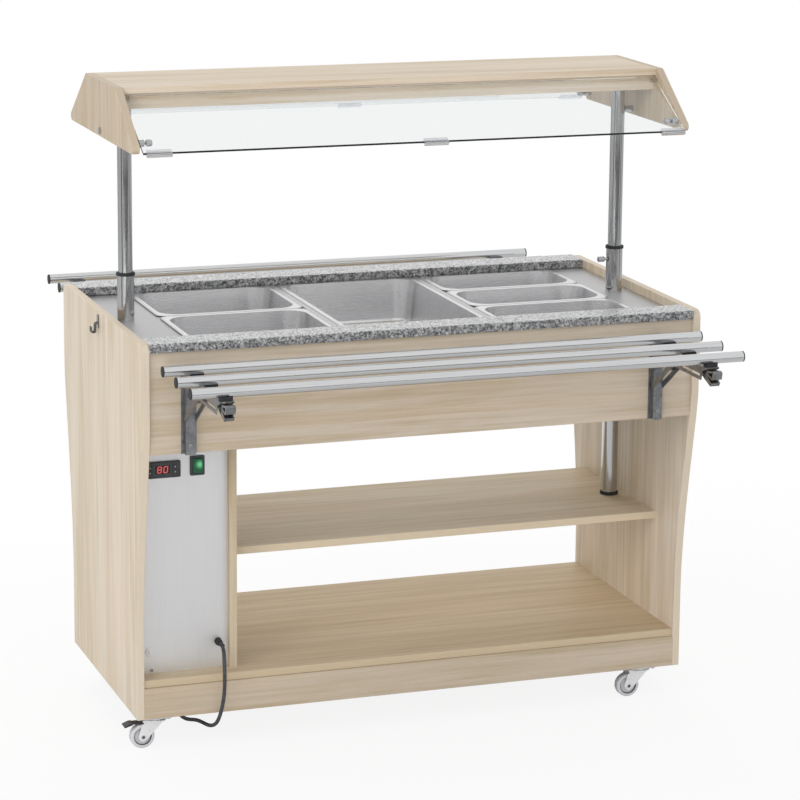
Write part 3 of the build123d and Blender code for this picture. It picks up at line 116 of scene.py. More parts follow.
class Graph:
    """Node tree of one material, with short ways to the nodes that the finishes share."""

    def __init__(self, label: str) -> None:
        """Starts a material with a principled shader wired to its output.

        Args:
            label: Name of the material.
        """
        self.material = bpy.data.materials.new(label)
        self.material.use_nodes = True
        self.tree = self.material.node_tree
        self.tree.nodes.clear()
        self.output = self.add("ShaderNodeOutputMaterial")
        self.shader = self.add("ShaderNodeBsdfPrincipled")
        self.link(self.shader.outputs["BSDF"], self.output.inputs["Surface"])
        self.coordinates = self.add("ShaderNodeTexCoord")

    def add(self, kind: str, **settings: object) -> bpy.types.Node:
        """Adds a node and sets its options."""
        node = self.tree.nodes.new(kind)
        for option, value in settings.items():
            setattr(node, option, value)
        return node

    def link(self, source: bpy.types.NodeSocket, target: bpy.types.NodeSocket) -> None:
        """Wires an output to an input."""
        self.tree.links.new(source, target)

    def feed(self, socket: bpy.types.NodeSocket, value: object) -> None:
        """Wires an output to a socket, or writes a plain value on it.

        Args:
            socket: Input to fill.
            value: Another node's output, a number, a vector or a linear colour.
        """
        if isinstance(value, bpy.types.NodeSocket):
            self.link(value, socket)
        elif socket.type == "RGBA":
            socket.default_value = (*value, 1.0)
        else:
            socket.default_value = value

    def set(self, **values: object) -> None:
        """Fills inputs of the shader, named with underscores for spaces."""
        for name, value in values.items():
            self.feed(self.shader.inputs[name.replace("_", " ")], value)

    def place(self, scale: Point, shift: Point = (0.0, 0.0, 0.0)) -> bpy.types.NodeSocket:
        """Object coordinates stretched by a scale on each axis.

        Args:
            scale: Repeats per metre along X, Y and Z.
            shift: Move of the pattern, so that two boards differ.

        Returns:
            The coordinates.
        """
        mapping = self.add("ShaderNodeMapping")
        self.link(self.coordinates.outputs["Object"], mapping.inputs["Vector"])
        mapping.inputs["Scale"].default_value = scale
        mapping.inputs["Location"].default_value = shift
        return mapping.outputs["Vector"]

    def noise(
        self,
        place: bpy.types.NodeSocket,
        scale: float = 1.0,
        detail: float = 2.0,
        rough: float = 0.5,
        distortion: float = 0.0,
    ) -> bpy.types.NodeSocket:
        """Cloudy pattern from 0 to 1."""
        node = self.add("ShaderNodeTexNoise")
        self.link(place, node.inputs["Vector"])
        node.inputs["Scale"].default_value = scale
        node.inputs["Detail"].default_value = detail
        node.inputs["Roughness"].default_value = rough
        node.inputs["Distortion"].default_value = distortion
        return node.outputs["Fac"]

    def cloud(self, repeats: float, **settings: float) -> bpy.types.NodeSocket:
        """Noise with the same number of repeats per metre on every axis."""
        return self.noise(self.place((repeats, repeats, repeats)), **settings)

    def crystals(self, place: bpy.types.NodeSocket, scale: float) -> bpy.types.NodeSocket:
        """One random shade for each cell, as in a crushed stone."""
        node = self.add("ShaderNodeTexVoronoi")
        self.link(place, node.inputs["Vector"])
        node.inputs["Scale"].default_value = scale
        split = self.add("ShaderNodeSeparateColor")
        self.link(node.outputs["Color"], split.inputs["Color"])
        return split.outputs["Red"]

    def ramp(
        self,
        factor: bpy.types.NodeSocket,
        stops: Iterable[tuple[float, Colour]],
        stepped: bool = False,
    ) -> bpy.types.NodeSocket:
        """Colour that follows a factor through a row of stops.

        Args:
            factor: Value from 0 to 1.
            stops: Position and linear colour of each stop, in order.
            stepped: Whether a colour holds until the next stop.

        Returns:
            The colour.
        """
        node = self.add("ShaderNodeValToRGB")
        self.link(factor, node.inputs["Fac"])
        node.color_ramp.interpolation = "CONSTANT" if stepped else "LINEAR"
        elements = node.color_ramp.elements
        stops = list(stops)
        while len(elements) < len(stops):
            elements.new(0.5)
        for element, (position, colour) in zip(elements, stops):
            element.position = position
            element.color = (*colour, 1.0)
        return node.outputs["Color"]

    def blend(self, factor: object, first: object, second: object) -> bpy.types.NodeSocket:
        """Colour between a first and a second one."""
        node = self.add("ShaderNodeMix", data_type="RGBA")
        self.feed(node.inputs["Factor"], factor)
        colours = [socket for socket in node.inputs if socket.type == "RGBA"]
        self.feed(colours[0], first)
        self.feed(colours[1], second)
        return next(socket for socket in node.outputs if socket.type == "RGBA")

    def math(self, operation: str, first: object, second: object = 0.0) -> bpy.types.NodeSocket:
        """Result of one sum, clamped to 0 and 1."""
        node = self.add("ShaderNodeMath", operation=operation, use_clamp=True)
        self.feed(node.inputs[0], first)
        self.feed(node.inputs[1], second)
        return node.outputs["Value"]

    def spread(
        self, factor: bpy.types.NodeSocket, low: float, high: float, start: float = 0.3, end: float = 0.7
    ) -> bpy.types.NodeSocket:
        """Maps the middle of a noise onto a range of values."""
        node = self.add("ShaderNodeMapRange")
        self.link(factor, node.inputs["Value"])
        node.inputs["From Min"].default_value = start
        node.inputs["From Max"].default_value = end
        node.inputs["To Min"].default_value = low
        node.inputs["To Max"].default_value = high
        return node.outputs["Result"]

    def disc(self, middle: Point, reach: float) -> bpy.types.NodeSocket:
        """Falls from 1 to 0 over a distance from a line across the cart.

        Args:
            middle: Point that the line goes through.
            reach: Distance at which the value is 0, in metres.

        Returns:
            The value.
        """
        size = 1.0 / reach
        ball = self.add("ShaderNodeTexGradient", gradient_type="SPHERICAL")
        place = self.place((size, 0.0, size), (-middle[0] * size, 0.0, -middle[2] * size))
        self.link(place, ball.inputs["Vector"])
        return ball.outputs["Fac"]

    def facing(self, axis: Axis, closeness: float = 0.7) -> bpy.types.NodeSocket:
        """1 on faces that look along an axis either way, 0 on the others.

        Args:
            axis: The axis.
            closeness: Cosine of the angle between the two that a face has to pass.

        Returns:
            The value.
        """
        split = self.add("ShaderNodeSeparateXYZ")
        self.link(self.coordinates.outputs["Normal"], split.inputs["Vector"])
        size = self.math("ABSOLUTE", split.outputs[axis.value])
        return self.math("GREATER_THAN", size, closeness)

    def bump(self, height: bpy.types.NodeSocket, strength: float, depth: float) -> None:
        """Roughens the surface by a height pattern.

        Args:
            height: Pattern of the relief.
            strength: Share of the relief that shows.
            depth: Depth of the relief in metres.
        """
        node = self.add("ShaderNodeBump")
        self.link(height, node.inputs["Height"])
        node.inputs["Strength"].default_value = strength
        node.inputs["Distance"].default_value = depth
        self.link(node.outputs["Normal"], self.shader.inputs["Normal"])


@dataclass(frozen=True)
class Finish:
    """A surface finish whose material is built once, under its label.

    Attributes:
        label: Name of the finish and of its material.
    """

    label: str

    def build(self, graph: Graph) -> None:
        """Fills the material's node tree."""
        raise NotImplementedError

    def material(self) -> bpy.types.Material:
        """The finish's material, made at its first use."""
        found = bpy.data.materials.get(self.label)
        if found is None:
            graph = Graph(self.label)
            self.build(graph)
            found = graph.material
        return found

    def dress(self, *pieces: bpy.types.Object) -> None:
        """Gives the finish to pieces."""
        for piece in pieces:
            piece.data.materials.clear()
            piece.data.materials.append(self.material())


@dataclass(frozen=True)
class AshLaminate(Finish):
    """Pale ash decor on coated board, with a plain edge band round each board.

    Attributes:
        grain: Direction of the grain.
        face: Direction that the board's broad faces look along, or None for decor all round.
        shift: Move of the pattern, in metres.
        tone: Screen colour of the decor's middle shade.
    """

    grain: Axis = Axis.LENGTH
    face: Axis | None = Axis.DEPTH
    shift: float = 0.0
    tone: tuple[int, int, int] = (206, 192, 172)

    def shade(self, red: float, green: float, blue: float) -> Colour:
        """The decor's tone with each channel scaled."""
        scaled = (self.tone[0] * red, self.tone[1] * green, self.tone[2] * blue)
        return srgb(*(min(255, round(value)) for value in scaled))

    def figure(
        self, graph: Graph, along: float, across: float, **settings: float
    ) -> bpy.types.NodeSocket:
        """Noise drawn out along the grain.

        Args:
            graph: Node tree of the material.
            along: Repeats per metre along the grain.
            across: Repeats per metre across it.
            settings: Further settings of the noise.

        Returns:
            The noise.
        """
        shift = (self.shift, 0.7 * self.shift, 0.4 * self.shift)
        return graph.noise(graph.place(self.grain.stretched(along, across), shift), **settings)

    def build(self, graph: Graph) -> None:
        """Mixes broad bands, streaks, fibres, a few warm flames and pores."""
        bands = self.figure(graph, 0.9, 9.0, detail=4.0, rough=0.55, distortion=0.9)
        streaks = self.figure(graph, 2.6, 95.0, detail=5.0, rough=0.62, distortion=0.35)
        fibres = self.figure(graph, 14.0, 620.0, detail=3.0, rough=0.7)
        flames = self.figure(graph, 0.6, 15.0, detail=2.0, distortion=1.4)
        pores = self.figure(graph, 70.0, 1500.0, detail=1.0)
        banding = graph.math("MULTIPLY", bands, 0.42)
        both = graph.math("ADD", banding, graph.math("MULTIPLY", streaks, 0.5))
        tone = graph.math("ADD", both, graph.math("MULTIPLY", fibres, 0.12))
        pale = self.shade(1.06, 1.07, 1.1)
        middle = self.shade(1.0, 1.0, 1.0)
        golden = self.shade(0.96, 0.94, 0.9)
        deep = self.shade(0.89, 0.86, 0.81)
        decor = graph.ramp(tone, [(0.36, deep), (0.46, golden), (0.53, middle), (0.66, pale)])
        warm = graph.spread(flames, 0.0, 0.3, start=0.52, end=0.7)
        rosy = graph.blend(warm, decor, self.shade(1.04, 1.0, 0.97))
        dotted = graph.spread(pores, 0.0, 0.24, start=0.62, end=0.74)
        flecked = graph.blend(dotted, rosy, self.shade(0.8, 0.76, 0.68))
        banded = graph.blend(graph.spread(fibres, 0.0, 0.3), self.shade(0.99, 0.99, 0.99), deep)
        colour = flecked
        if self.face is not None:
            colour = graph.blend(graph.facing(self.face), banded, flecked)
        graph.set(Base_Color=colour, Specular_IOR_Level=0.35)
        graph.set(Roughness=graph.spread(streaks, 0.44, 0.56))
        graph.bump(fibres, 0.12, 0.00015)


@dataclass(frozen=True)
class Granite(Finish):
    """Polished grey granite with white, grey and black crystals a few millimetres wide."""

    def build(self, graph: Graph) -> None:
        """Steps cells and clouds through the stone's shades, with painted shade on the front faces."""
        place = graph.place((1.0, 1.0, 1.0))
        clouds = graph.noise(place, scale=190.0, detail=6.0, rough=0.72, distortion=0.4)
        cells = graph.crystals(place, 420.0)
        coarse = graph.noise(place, scale=62.0, detail=3.0, rough=0.6)
        cloudy = graph.math("MULTIPLY", clouds, 0.66)
        tone = graph.math("ADD", cloudy, graph.math("MULTIPLY", cells, 0.2))
        tone = graph.math("ADD", tone, graph.math("MULTIPLY", coarse, 0.21))
        stops = [
            (0.0, srgb(62, 64, 67)),
            (0.45, srgb(112, 115, 118)),
            (0.487, srgb(150, 152, 154)),
            (0.535, srgb(184, 185, 186)),
            (0.6, srgb(208, 208, 207)),
        ]
        stone = graph.ramp(tone, stops, stepped=True)
        # Painted shade: the faces that look along the depth are darkened towards near black, deeper in
        # patches.
        blotched = graph.noise(place, scale=120.0, detail=4.0, rough=0.6)
        front_shade_amount = graph.spread(blotched, 0.2, 0.72, start=0.44, end=0.6)
        shaded_front = graph.blend(front_shade_amount, stone, srgb(52, 54, 58))
        colour = graph.blend(graph.facing(Axis.DEPTH), stone, shaded_front)
        graph.set(Base_Color=colour, Coat_Weight=0.35, Coat_Roughness=0.14)
        graph.set(Roughness=graph.spread(clouds, 0.22, 0.38))
        graph.bump(clouds, 0.05, 0.0002)


@dataclass(frozen=True)
class BrushedSteel(Finish):
    """Stainless sheet with fine brush lines.

    Attributes:
        lines: Direction of the brush lines.
        shade: Screen grey of the metal.
        gloss: Middle of the roughness range.
    """

    lines: Axis = Axis.LENGTH
    shade: int = 196
    gloss: float = 0.3

    def build(self, graph: Graph) -> None:
        """Lays long thin noise in the colour, the gloss and the relief."""
        brush = graph.noise(graph.place(self.lines.stretched(9.0, 1400.0)), detail=3.0, rough=0.6)
        cloud = graph.cloud(3.0, detail=2.0)
        low = srgb(self.shade - 5, self.shade - 5, self.shade - 4)
        high = srgb(self.shade + 4, self.shade + 4, self.shade + 5)
        metal = graph.ramp(brush, [(0.3, low), (0.7, high)])
        graph.set(Base_Color=graph.blend(graph.spread(cloud, 0.0, 0.25), metal, low), Metallic=1.0)
        graph.set(Roughness=graph.spread(brush, self.gloss - 0.05, self.gloss + 0.06))
        graph.bump(brush, 0.015, 0.00003)


@dataclass(frozen=True)
class PressedPan(Finish):
    """Drawn stainless pan whose rolled rim is edged by two lines of painted shade.

    Attributes:
        middle: Centre of the pan in metres.
        half: Half of its length and width over the rim.
        corner: Outer radius of the rim's corners.
        shade: Screen grey of the metal.
        gloss: Middle of the roughness range.
    """

    middle: tuple[float, float] = (0.0, 0.0)
    half: tuple[float, float] = (0.1, 0.1)
    corner: float = 22.0 * MM
    shade: int = 221
    gloss: float = 0.26

    def rim(self, graph: Graph) -> bpy.types.NodeSocket:
        """0 at the corner radius inside the rim's outline, 1 on the outline itself."""
        size = 1.0 / self.corner
        shift = (-self.middle[0] * size, -self.middle[1] * size, 0.0)
        split = graph.add("ShaderNodeSeparateXYZ")
        graph.link(graph.place((size, size, size), shift), split.inputs["Vector"])
        squares = []
        for side, half in zip("XY", self.half):
            away = graph.add("ShaderNodeMath", operation="ABSOLUTE")
            graph.link(split.outputs[side], away.inputs[0])
            past = graph.math("SUBTRACT", away.outputs["Value"], half * size - 1.0)
            squares.append(graph.math("MULTIPLY", past, past))
        return graph.math("SQRT", graph.math("ADD", *squares))

    def build(self, graph: Graph) -> None:
        """Brushes the metal and paints shade in the crease and the gap of the rolled rim."""
        lines = Axis.LENGTH.stretched(9.0, 1400.0)
        brush = graph.noise(graph.place(lines), detail=3.0, rough=0.6)
        cloud = graph.cloud(5.0, detail=3.0)
        low = srgb(self.shade - 4, self.shade - 4, self.shade - 3)
        high = srgb(self.shade + 3, self.shade + 3, self.shade + 4)
        metal = graph.ramp(brush, [(0.3, low), (0.7, high)])
        # Painted shade: a dark line in the crease at the foot of the rolled rim, and another in the gap
        # at its outer edge.
        mark = graph.ramp(
            self.rim(graph),
            [
                (0.78, (0.0, 0.0, 0.0)),
                (0.81, (0.5, 0.5, 0.5)),
                (0.86, (0.5, 0.5, 0.5)),
                (0.88, (0.0, 0.0, 0.0)),
                (0.94, (0.0, 0.0, 0.0)),
                (0.96, (0.8, 0.8, 0.8)),
            ],
        )
        dull_steel_and_rim_shade = srgb(72, 74, 78)
        colour = graph.blend(mark, graph.blend(graph.spread(cloud, 0.0, 0.3), metal, low), dull_steel_and_rim_shade)
        graph.set(Base_Color=colour, Metallic=1.0)
        graph.set(Roughness=graph.spread(brush, self.gloss - 0.02, self.gloss + 0.03))
        graph.bump(brush, 0.004, 0.00002)


@dataclass(frozen=True)
class PolishedTube(Finish):
    """Bright tube steel with faint draw lines and smudges.

    Attributes:
        lines: Direction that the tube was drawn in.
        shade: Screen grey of the metal.
    """

    lines: Axis = Axis.LENGTH
    shade: int = 214

    def build(self, graph: Graph) -> None:
        """Keeps the gloss high and breaks it with smudges."""
        drawn = graph.noise(graph.place(self.lines.stretched(5.0, 420.0)), detail=2.0)
        smudge = graph.cloud(14.0, detail=3.0)
        dull_steel_and_rim_shade = srgb(self.shade - 6, self.shade - 5, self.shade - 4)
        bright = srgb(self.shade + 4, self.shade + 5, self.shade + 6)
        graph.set(Base_Color=graph.ramp(drawn, [(0.3, dull_steel_and_rim_shade), (0.7, bright)]), Metallic=1.0)
        graph.set(Roughness=graph.spread(smudge, 0.12, 0.18))
        graph.bump(drawn, 0.015, 0.00003)


@dataclass(frozen=True)
class CastZinc(Finish):
    """Zinc-plated or painted pressed steel with a soft mottled sheen.

    Attributes:
        shade: Screen grey of the metal.
        gloss: Middle of the roughness range.
        metal: How metallic it looks, from 0 to 1.
    """

    shade: int = 178
    gloss: float = 0.36
    metal: float = 0.9

    def mixed(self, graph: Graph, spangle: bpy.types.NodeSocket) -> bpy.types.NodeSocket:
        """Plating whose shade follows the spangle and darkens in patches."""
        grime = graph.cloud(22.0, detail=3.0)
        dark = srgb(self.shade - 26, self.shade - 24, self.shade - 21)
        light = srgb(self.shade + 12, self.shade + 13, self.shade + 15)
        plated = graph.ramp(spangle, [(0.32, dark), (0.66, light)])
        return graph.blend(graph.spread(grime, 0.0, 0.3), plated, dark)

    def build(self, graph: Graph) -> None:
        """Mottles the plating and wears the gloss in patches."""
        spangle = graph.cloud(90.0, detail=4.0, rough=0.65)
        graph.set(Base_Color=self.mixed(graph, spangle), Metallic=self.metal)
        graph.set(Roughness=graph.spread(spangle, self.gloss - 0.08, self.gloss + 0.1))
        graph.bump(spangle, 0.06, 0.0001)


@dataclass(frozen=True)
class MouldedPlastic(Finish):
    """Moulded plastic or rubber with a fine spark-eroded grain.

    Attributes:
        colour: Screen colour.
        gloss: Middle of the roughness range.
    """

    colour: tuple[int, int, int] = (38, 39, 42)
    gloss: float = 0.46

    def mixed(self, graph: Graph, drift: bpy.types.NodeSocket) -> bpy.types.NodeSocket:
        """The plastic's colour, a little darker and paler by turns."""
        low = srgb(*(max(0, value - 7) for value in self.colour))
        high = srgb(*(min(255, value + 9) for value in self.colour))
        return graph.ramp(drift, [(0.3, low), (0.7, high)])

    def build(self, graph: Graph) -> None:
        """Adds the mould's grain and a slow drift of shade."""
        grain = graph.cloud(2200.0, detail=2.0)
        drift = graph.cloud(35.0, detail=3.0)
        graph.set(Base_Color=self.mixed(graph, drift), Specular_IOR_Level=0.45)
        graph.set(Roughness=graph.spread(drift, self.gloss - 0.06, self.gloss + 0.08))
        graph.bump(grain, 0.12, 0.00008)


@dataclass(frozen=True)
class WheelTyre(MouldedPlastic):
    """Moulded tyre round a dished hub, with a dark joint between the two.

    Attributes:
        middle: Centre of the wheel in metres.
        joint: Radius of the dark joint.
        hub: Screen grey of the hub.
    """

    middle: Point = (0.0, 0.0, 0.0)
    joint: float = 18.0 * MM
    hub: int = 196

    def mixed(self, graph: Graph, drift: bpy.types.NodeSocket) -> bpy.types.NodeSocket:
        """The tyre's colour, then the dark joint and the hub inside it."""
        dirt = graph.cloud(400.0, detail=2.0)
        disc = graph.disc(self.middle, 2 * self.joint)
        edge = graph.math("ADD", disc, graph.spread(dirt, -0.01, 0.01))
        tyre = srgb(*self.colour)
        dark = srgb(92, 93, 96)
        hub = srgb(self.hub, self.hub, self.hub + 3)
        return graph.ramp(edge, [(0.46, tyre), (0.485, dark), (0.52, dark), (0.56, hub), (0.9, hub)])


@dataclass(frozen=True)
class ForkZinc(CastZinc):
    """Bright pressed fork whose axle bolt is darker steel.

    Attributes:
        metal: How metallic it looks, from 0 to 1.
        middle: Centre of the axle in metres.
        bolt: Radius of the bolt's head.
    """

    metal: float = 0.55
    middle: Point = (0.0, 0.0, 0.0)
    bolt: float = 3.2 * MM

    def mixed(self, graph: Graph, spangle: bpy.types.NodeSocket) -> bpy.types.NodeSocket:
        """Pale plating, worn near the axle, with the bolt's darker steel in the middle."""
        dirt = graph.cloud(500.0, detail=2.0)
        disc = graph.disc(self.middle, 2 * self.bolt)
        edge = graph.math("ADD", disc, graph.spread(dirt, -0.02, 0.02))
        plated = srgb(self.shade, self.shade + 1, self.shade + 3)
        worn = srgb(self.shade - 22, self.shade - 21, self.shade - 18)
        return graph.ramp(edge, [(0.0, plated), (0.4, worn), (0.5, srgb(96, 98, 102))])


@dataclass(frozen=True)
class MouldedPlug(MouldedPlastic):
    """Rubbery plug body whose pins are bright metal.

    Attributes:
        pins_from: Distance along the cart's depth where the pins start, in metres.
    """

    pins_from: float = 0.095

    def build(self, graph: Graph) -> None:
        """Splits the piece into rubber and metal by its place."""
        super().build(graph)
        rubber = graph.shader.inputs["Base Color"].links[0].from_socket
        split = graph.add("ShaderNodeSeparateXYZ")
        graph.link(graph.coordinates.outputs["Object"], split.inputs["Vector"])
        pins = graph.math("GREATER_THAN", split.outputs["Y"], self.pins_from)
        graph.set(Base_Color=graph.blend(pins, rubber, srgb(196, 198, 200)), Metallic=pins)
        graph.set(Roughness=graph.spread(pins, 0.5, 0.22, start=0.0, end=1.0))


@dataclass(frozen=True)
class ClearSheet(Finish):
    """Clear glass or moulded clear plastic.

    Attributes:
        tint: Screen colour that the body of the sheet takes.
        gloss: Roughness of its surface.
        index: Refractive index.
    """

    tint: tuple[int, int, int] = (247, 248, 248)
    gloss: float = 0.0
    index: float = 1.46

    def build(self, graph: Graph) -> None:
        """Lets light through and keeps a faint film of smears in the gloss."""
        smear = graph.cloud(7.0, detail=3.0)
        graph.set(Base_Color=srgb(*self.tint), Transmission_Weight=1.0, IOR=self.index)
        graph.set(Roughness=graph.spread(smear, self.gloss, self.gloss + 0.015))


@dataclass(frozen=True)
class GlowingPlastic(Finish):
    """Lit plastic whose glow falls off from its middle.

    Attributes:
        colour: Screen colour at the edge.
        glow: Screen colour of the light in the middle.
        strength: Strength of the light in the middle.
        middle: Centre of the glow in metres.
        reach: Distance at which the glow has gone, in metres.
    """

    colour: tuple[int, int, int] = (12, 96, 58)
    glow: tuple[int, int, int] = (120, 240, 150)
    strength: float = 0.9
    middle: Point = (0.0, 0.0, 0.0)
    reach: float = 0.016

    def build(self, graph: Graph) -> None:
        """Fades the emission with the distance from the middle."""
        mottle = graph.cloud(260.0, detail=2.0)
        disc = graph.disc(self.middle, self.reach)
        lit = graph.math("MULTIPLY", disc, graph.spread(mottle, 0.85, 1.0))
        colour = graph.ramp(lit, [(0.0, srgb(*self.colour)), (0.75, srgb(*self.glow))])
        graph.set(Base_Color=colour, Emission_Color=colour)
        graph.set(Emission_Strength=graph.math("MULTIPLY", lit, self.strength))
        graph.set(Roughness=0.25, Specular_IOR_Level=0.5)


@dataclass(frozen=True)
class CordSheath(Finish):
    """Dull rubber sheath of a mains lead."""

    def build(self, graph: Graph) -> None:
        """Dusts a dark sheath with paler scuffs."""
        scuff = graph.cloud(160.0, detail=4.0, rough=0.7)
        fine = graph.cloud(1400.0, detail=1.0)
        colour = graph.ramp(scuff, [(0.35, srgb(56, 58, 61)), (0.75, srgb(84, 86, 89))])
        graph.set(Base_Color=colour, Specular_IOR_Level=0.4)
        graph.set(Roughness=graph.spread(scuff, 0.5, 0.68))
        graph.bump(fine, 0.1, 0.0001)


ASH_PANEL = AshLaminate("ash_side_panel", Axis.HEIGHT, Axis.LENGTH, shift=0.0, tone=(214, 201, 182))
ASH_CHEEK = AshLaminate("ash_hood_cheek", Axis.HEIGHT, Axis.LENGTH, shift=3.1, tone=(194, 179, 158))
ASH_UPRIGHT = AshLaminate("ash_upright", Axis.HEIGHT, None, shift=5.3, tone=(196, 181, 157))
ASH_APRON = AshLaminate("ash_apron", Axis.LENGTH, Axis.DEPTH, shift=1.7, tone=(194, 180, 161))
ASH_PLINTH = AshLaminate("ash_plinth", Axis.LENGTH, Axis.DEPTH, shift=8.9, tone=(188, 173, 152))
ASH_HOOD = AshLaminate("ash_hood_top", Axis.LENGTH, None, shift=4.4, tone=(208, 194, 174))
# The shelf's tone is raised above the other boards' tones: painted light against the shade between the
# apron and the shelf.
ASH_SHELF = AshLaminate("ash_shelf", Axis.LENGTH, Axis.HEIGHT, shift=6.2, tone=(218, 202, 176))
ASH_FLOOR = AshLaminate("ash_floor_board", Axis.LENGTH, Axis.HEIGHT, shift=2.3, tone=(200, 183, 155))
GRANITE = Granite("grey_granite")
WORKTOP_STEEL = BrushedSteel("worktop_steel", Axis.DEPTH, shade=194, gloss=0.4)
WELL_STEEL = BrushedSteel("well_steel", Axis.LENGTH, shade=196, gloss=0.3)
BAR_STEEL = BrushedSteel("bar_steel", Axis.DEPTH, shade=190, gloss=0.3)
PANEL_STEEL = BrushedSteel("panel_steel", Axis.HEIGHT, shade=238, gloss=0.52)
TUBE_STEEL = PolishedTube("tube_steel", Axis.LENGTH, shade=206)
POST_STEEL = PolishedTube("post_steel", Axis.HEIGHT, shade=194)
FITTING_CHROME = PolishedTube("fitting_chrome", Axis.DEPTH, shade=186)
RAIL_ZINC = CastZinc("rail_zinc", shade=142, gloss=0.34)
CASTOR_ZINC = CastZinc("castor_zinc", shade=240, gloss=0.32)
# The hook's chrome is much darker than the other chrome: painted dark reflection.
HOOK_CHROME = PolishedTube("hook_chrome", Axis.HEIGHT, shade=118)
SCREW_STEEL = CastZinc("screw_steel", shade=172, gloss=0.28)
LEVER_ZINC = CastZinc("lever_zinc", shade=128, gloss=0.22)
BLACK_PLASTIC = MouldedPlastic("black_plastic", (34, 35, 38), gloss=0.44)
PEDAL_PLASTIC = MouldedPlastic("pedal_plastic", (40, 41, 44), gloss=0.4)
BEZEL_PLASTIC = MouldedPlastic("bezel_plastic", (58, 62, 66), gloss=0.4)
KEY_PLASTIC = MouldedPlastic("key_plastic", (66, 70, 74), gloss=0.4)
MARK_PAINT = MouldedPlastic("mark_paint", (170, 176, 180), gloss=0.5)
WINDOW_PLASTIC = MouldedPlastic("window_plastic", (52, 14, 20), gloss=0.12)
PLUG_RUBBER = MouldedPlug("plug_rubber", (46, 47, 50), gloss=0.5)
HOOD_GLASS = ClearSheet("hood_glass", (241, 243, 243))
CLIP_PLASTIC = ClearSheet("clip_plastic", (240, 241, 243), gloss=0.42, index=1.16)
ELEMENT_SHEATH = CastZinc("element_sheath", shade=96, gloss=0.5)
SHEATH = CordSheath("cord_sheath")
DIGIT_LIGHT = GlowingPlastic(
    "digit_light",
    colour=(186, 62, 62),
    glow=(214, 92, 88),
    strength=0.5,
    middle=(-0.5395, 0.0, 0.587),
    reach=0.12,
)
# The bright spot on the lens is partly the switch's own light and partly a painted highlight, in its
# emission and in its colour.
ROCKER_LENS = GlowingPlastic(
    "rocker_lens",
    colour=(8, 92, 54),
    glow=(104, 206, 142),
    strength=0.3,
    middle=(-0.4605, 0.0, 0.5925),
    reach=0.0105,
)


class Bench:
    """Bench work on one new piece: operators that act on the chosen faces of one object."""

    @staticmethod
    def clear() -> None:
        """Leaves edit mode and lets go of every object."""
        if bpy.context.object is not None and bpy.context.object.mode != "OBJECT":
            bpy.ops.object.mode_set(mode="OBJECT")
        bpy.ops.object.select_all(action="DESELECT")

    @staticmethod
    def cylinder(
        name: str, radius: float, depth: float, middle: Point, axis: Axis, sides: int = 32
    ) -> bpy.types.Object:
        """Adds a round blank.

        Args:
            name: Name of the piece.
            radius: Its radius in metres.
            depth: Its length in metres.
            middle: Its centre.
            axis: Direction that it lies along.
            sides: Number of sides.

        Returns:
            The blank, selected.
        """
        Bench.clear()
        turn = {
            Axis.LENGTH: (0.0, math.pi / 2, 0.0),
            Axis.DEPTH: (math.pi / 2, 0.0, 0.0),
            Axis.HEIGHT: (0.0, 0.0, 0.0),
        }[axis]
        bpy.ops.mesh.primitive_cylinder_add(
            vertices=sides, radius=radius, depth=depth, location=middle, rotation=turn
        )
        piece = bpy.context.object
        piece.name = name
        bpy.ops.object.transform_apply(location=True, rotation=True, scale=True)
        return piece

    @staticmethod
    def block(name: str, size: Point, middle: Point) -> bpy.types.Object:
        """Adds a square blank of a size about a centre."""
        Bench.clear()
        bpy.ops.mesh.primitive_cube_add(size=1.0, location=middle, scale=size)
        piece = bpy.context.object
        piece.name = name
        bpy.ops.object.transform_apply(location=True, rotation=True, scale=True)
        return piece

    @staticmethod
    def choose(piece: bpy.types.Object, outward: Vector, closeness: float = 0.9) -> None:
        """Enters edit mode with only the faces chosen that look along a direction.

        Args:
            piece: The piece.
            outward: Unit vector of the direction.
            closeness: Cosine of the angle between the two that a face has to pass.
        """
        bpy.ops.object.mode_set(mode="EDIT")
        bpy.ops.mesh.select_mode(type="FACE")
        bpy.ops.mesh.select_all(action="DESELECT")
        bpy.ops.object.mode_set(mode="OBJECT")
        for face in piece.data.polygons:
            face.select = face.normal.dot(outward) > closeness
        bpy.ops.object.mode_set(mode="EDIT")

    @staticmethod
    def soften(piece: bpy.types.Object, width: float, segments: int = 2) -> None:
        """Rounds the sharp edges of a piece by a bevel that is applied.

        Args:
            piece: The piece.
            width: Width of the bevel in metres.
            segments: Faces across the bevel.
        """
        Bench.clear()
        piece.select_set(True)
        bpy.context.view_layer.objects.active = piece
        bevel = piece.modifiers.new("edge", "BEVEL")
        bevel.width = width
        bevel.segments = segments
        bevel.limit_method = "ANGLE"
        bevel.angle_limit = SHARP_ANGLE
        bpy.ops.object.modifier_apply(modifier=bevel.name)
        bpy.ops.object.shade_smooth_by_angle(angle=SMOOTH_ANGLE)

    @staticmethod
    def copies(piece: bpy.types.Object, shifts: Iterable[Point]) -> None:
        """Joins moved copies of a piece into it.

        Args:
            piece: The piece, modelled at its first place.
            shifts: Moves from the first place to each further one, in metres.
        """
        group = [piece]
        for shift in shifts:
            twin = piece.copy()
            twin.data = piece.data.copy()
            twin.data.transform(Matrix.Translation(shift))
            bpy.context.scene.collection.objects.link(twin)
            group.append(twin)
        Bench.clear()
        for member in group:
            member.select_set(True)
        bpy.context.view_layer.objects.active = piece
        bpy.ops.object.join()
        Bench.clear()

    @staticmethod
    def hand_over(piece: bpy.types.Object, finish: Finish, body: str, slot: str) -> None:
        """Finishes a piece: its material and its body."""
        finish.dress(piece)
        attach(piece, body)
        log.info("%s: %d faces, rides on %s", piece.name, len(piece.data.polygons), body)


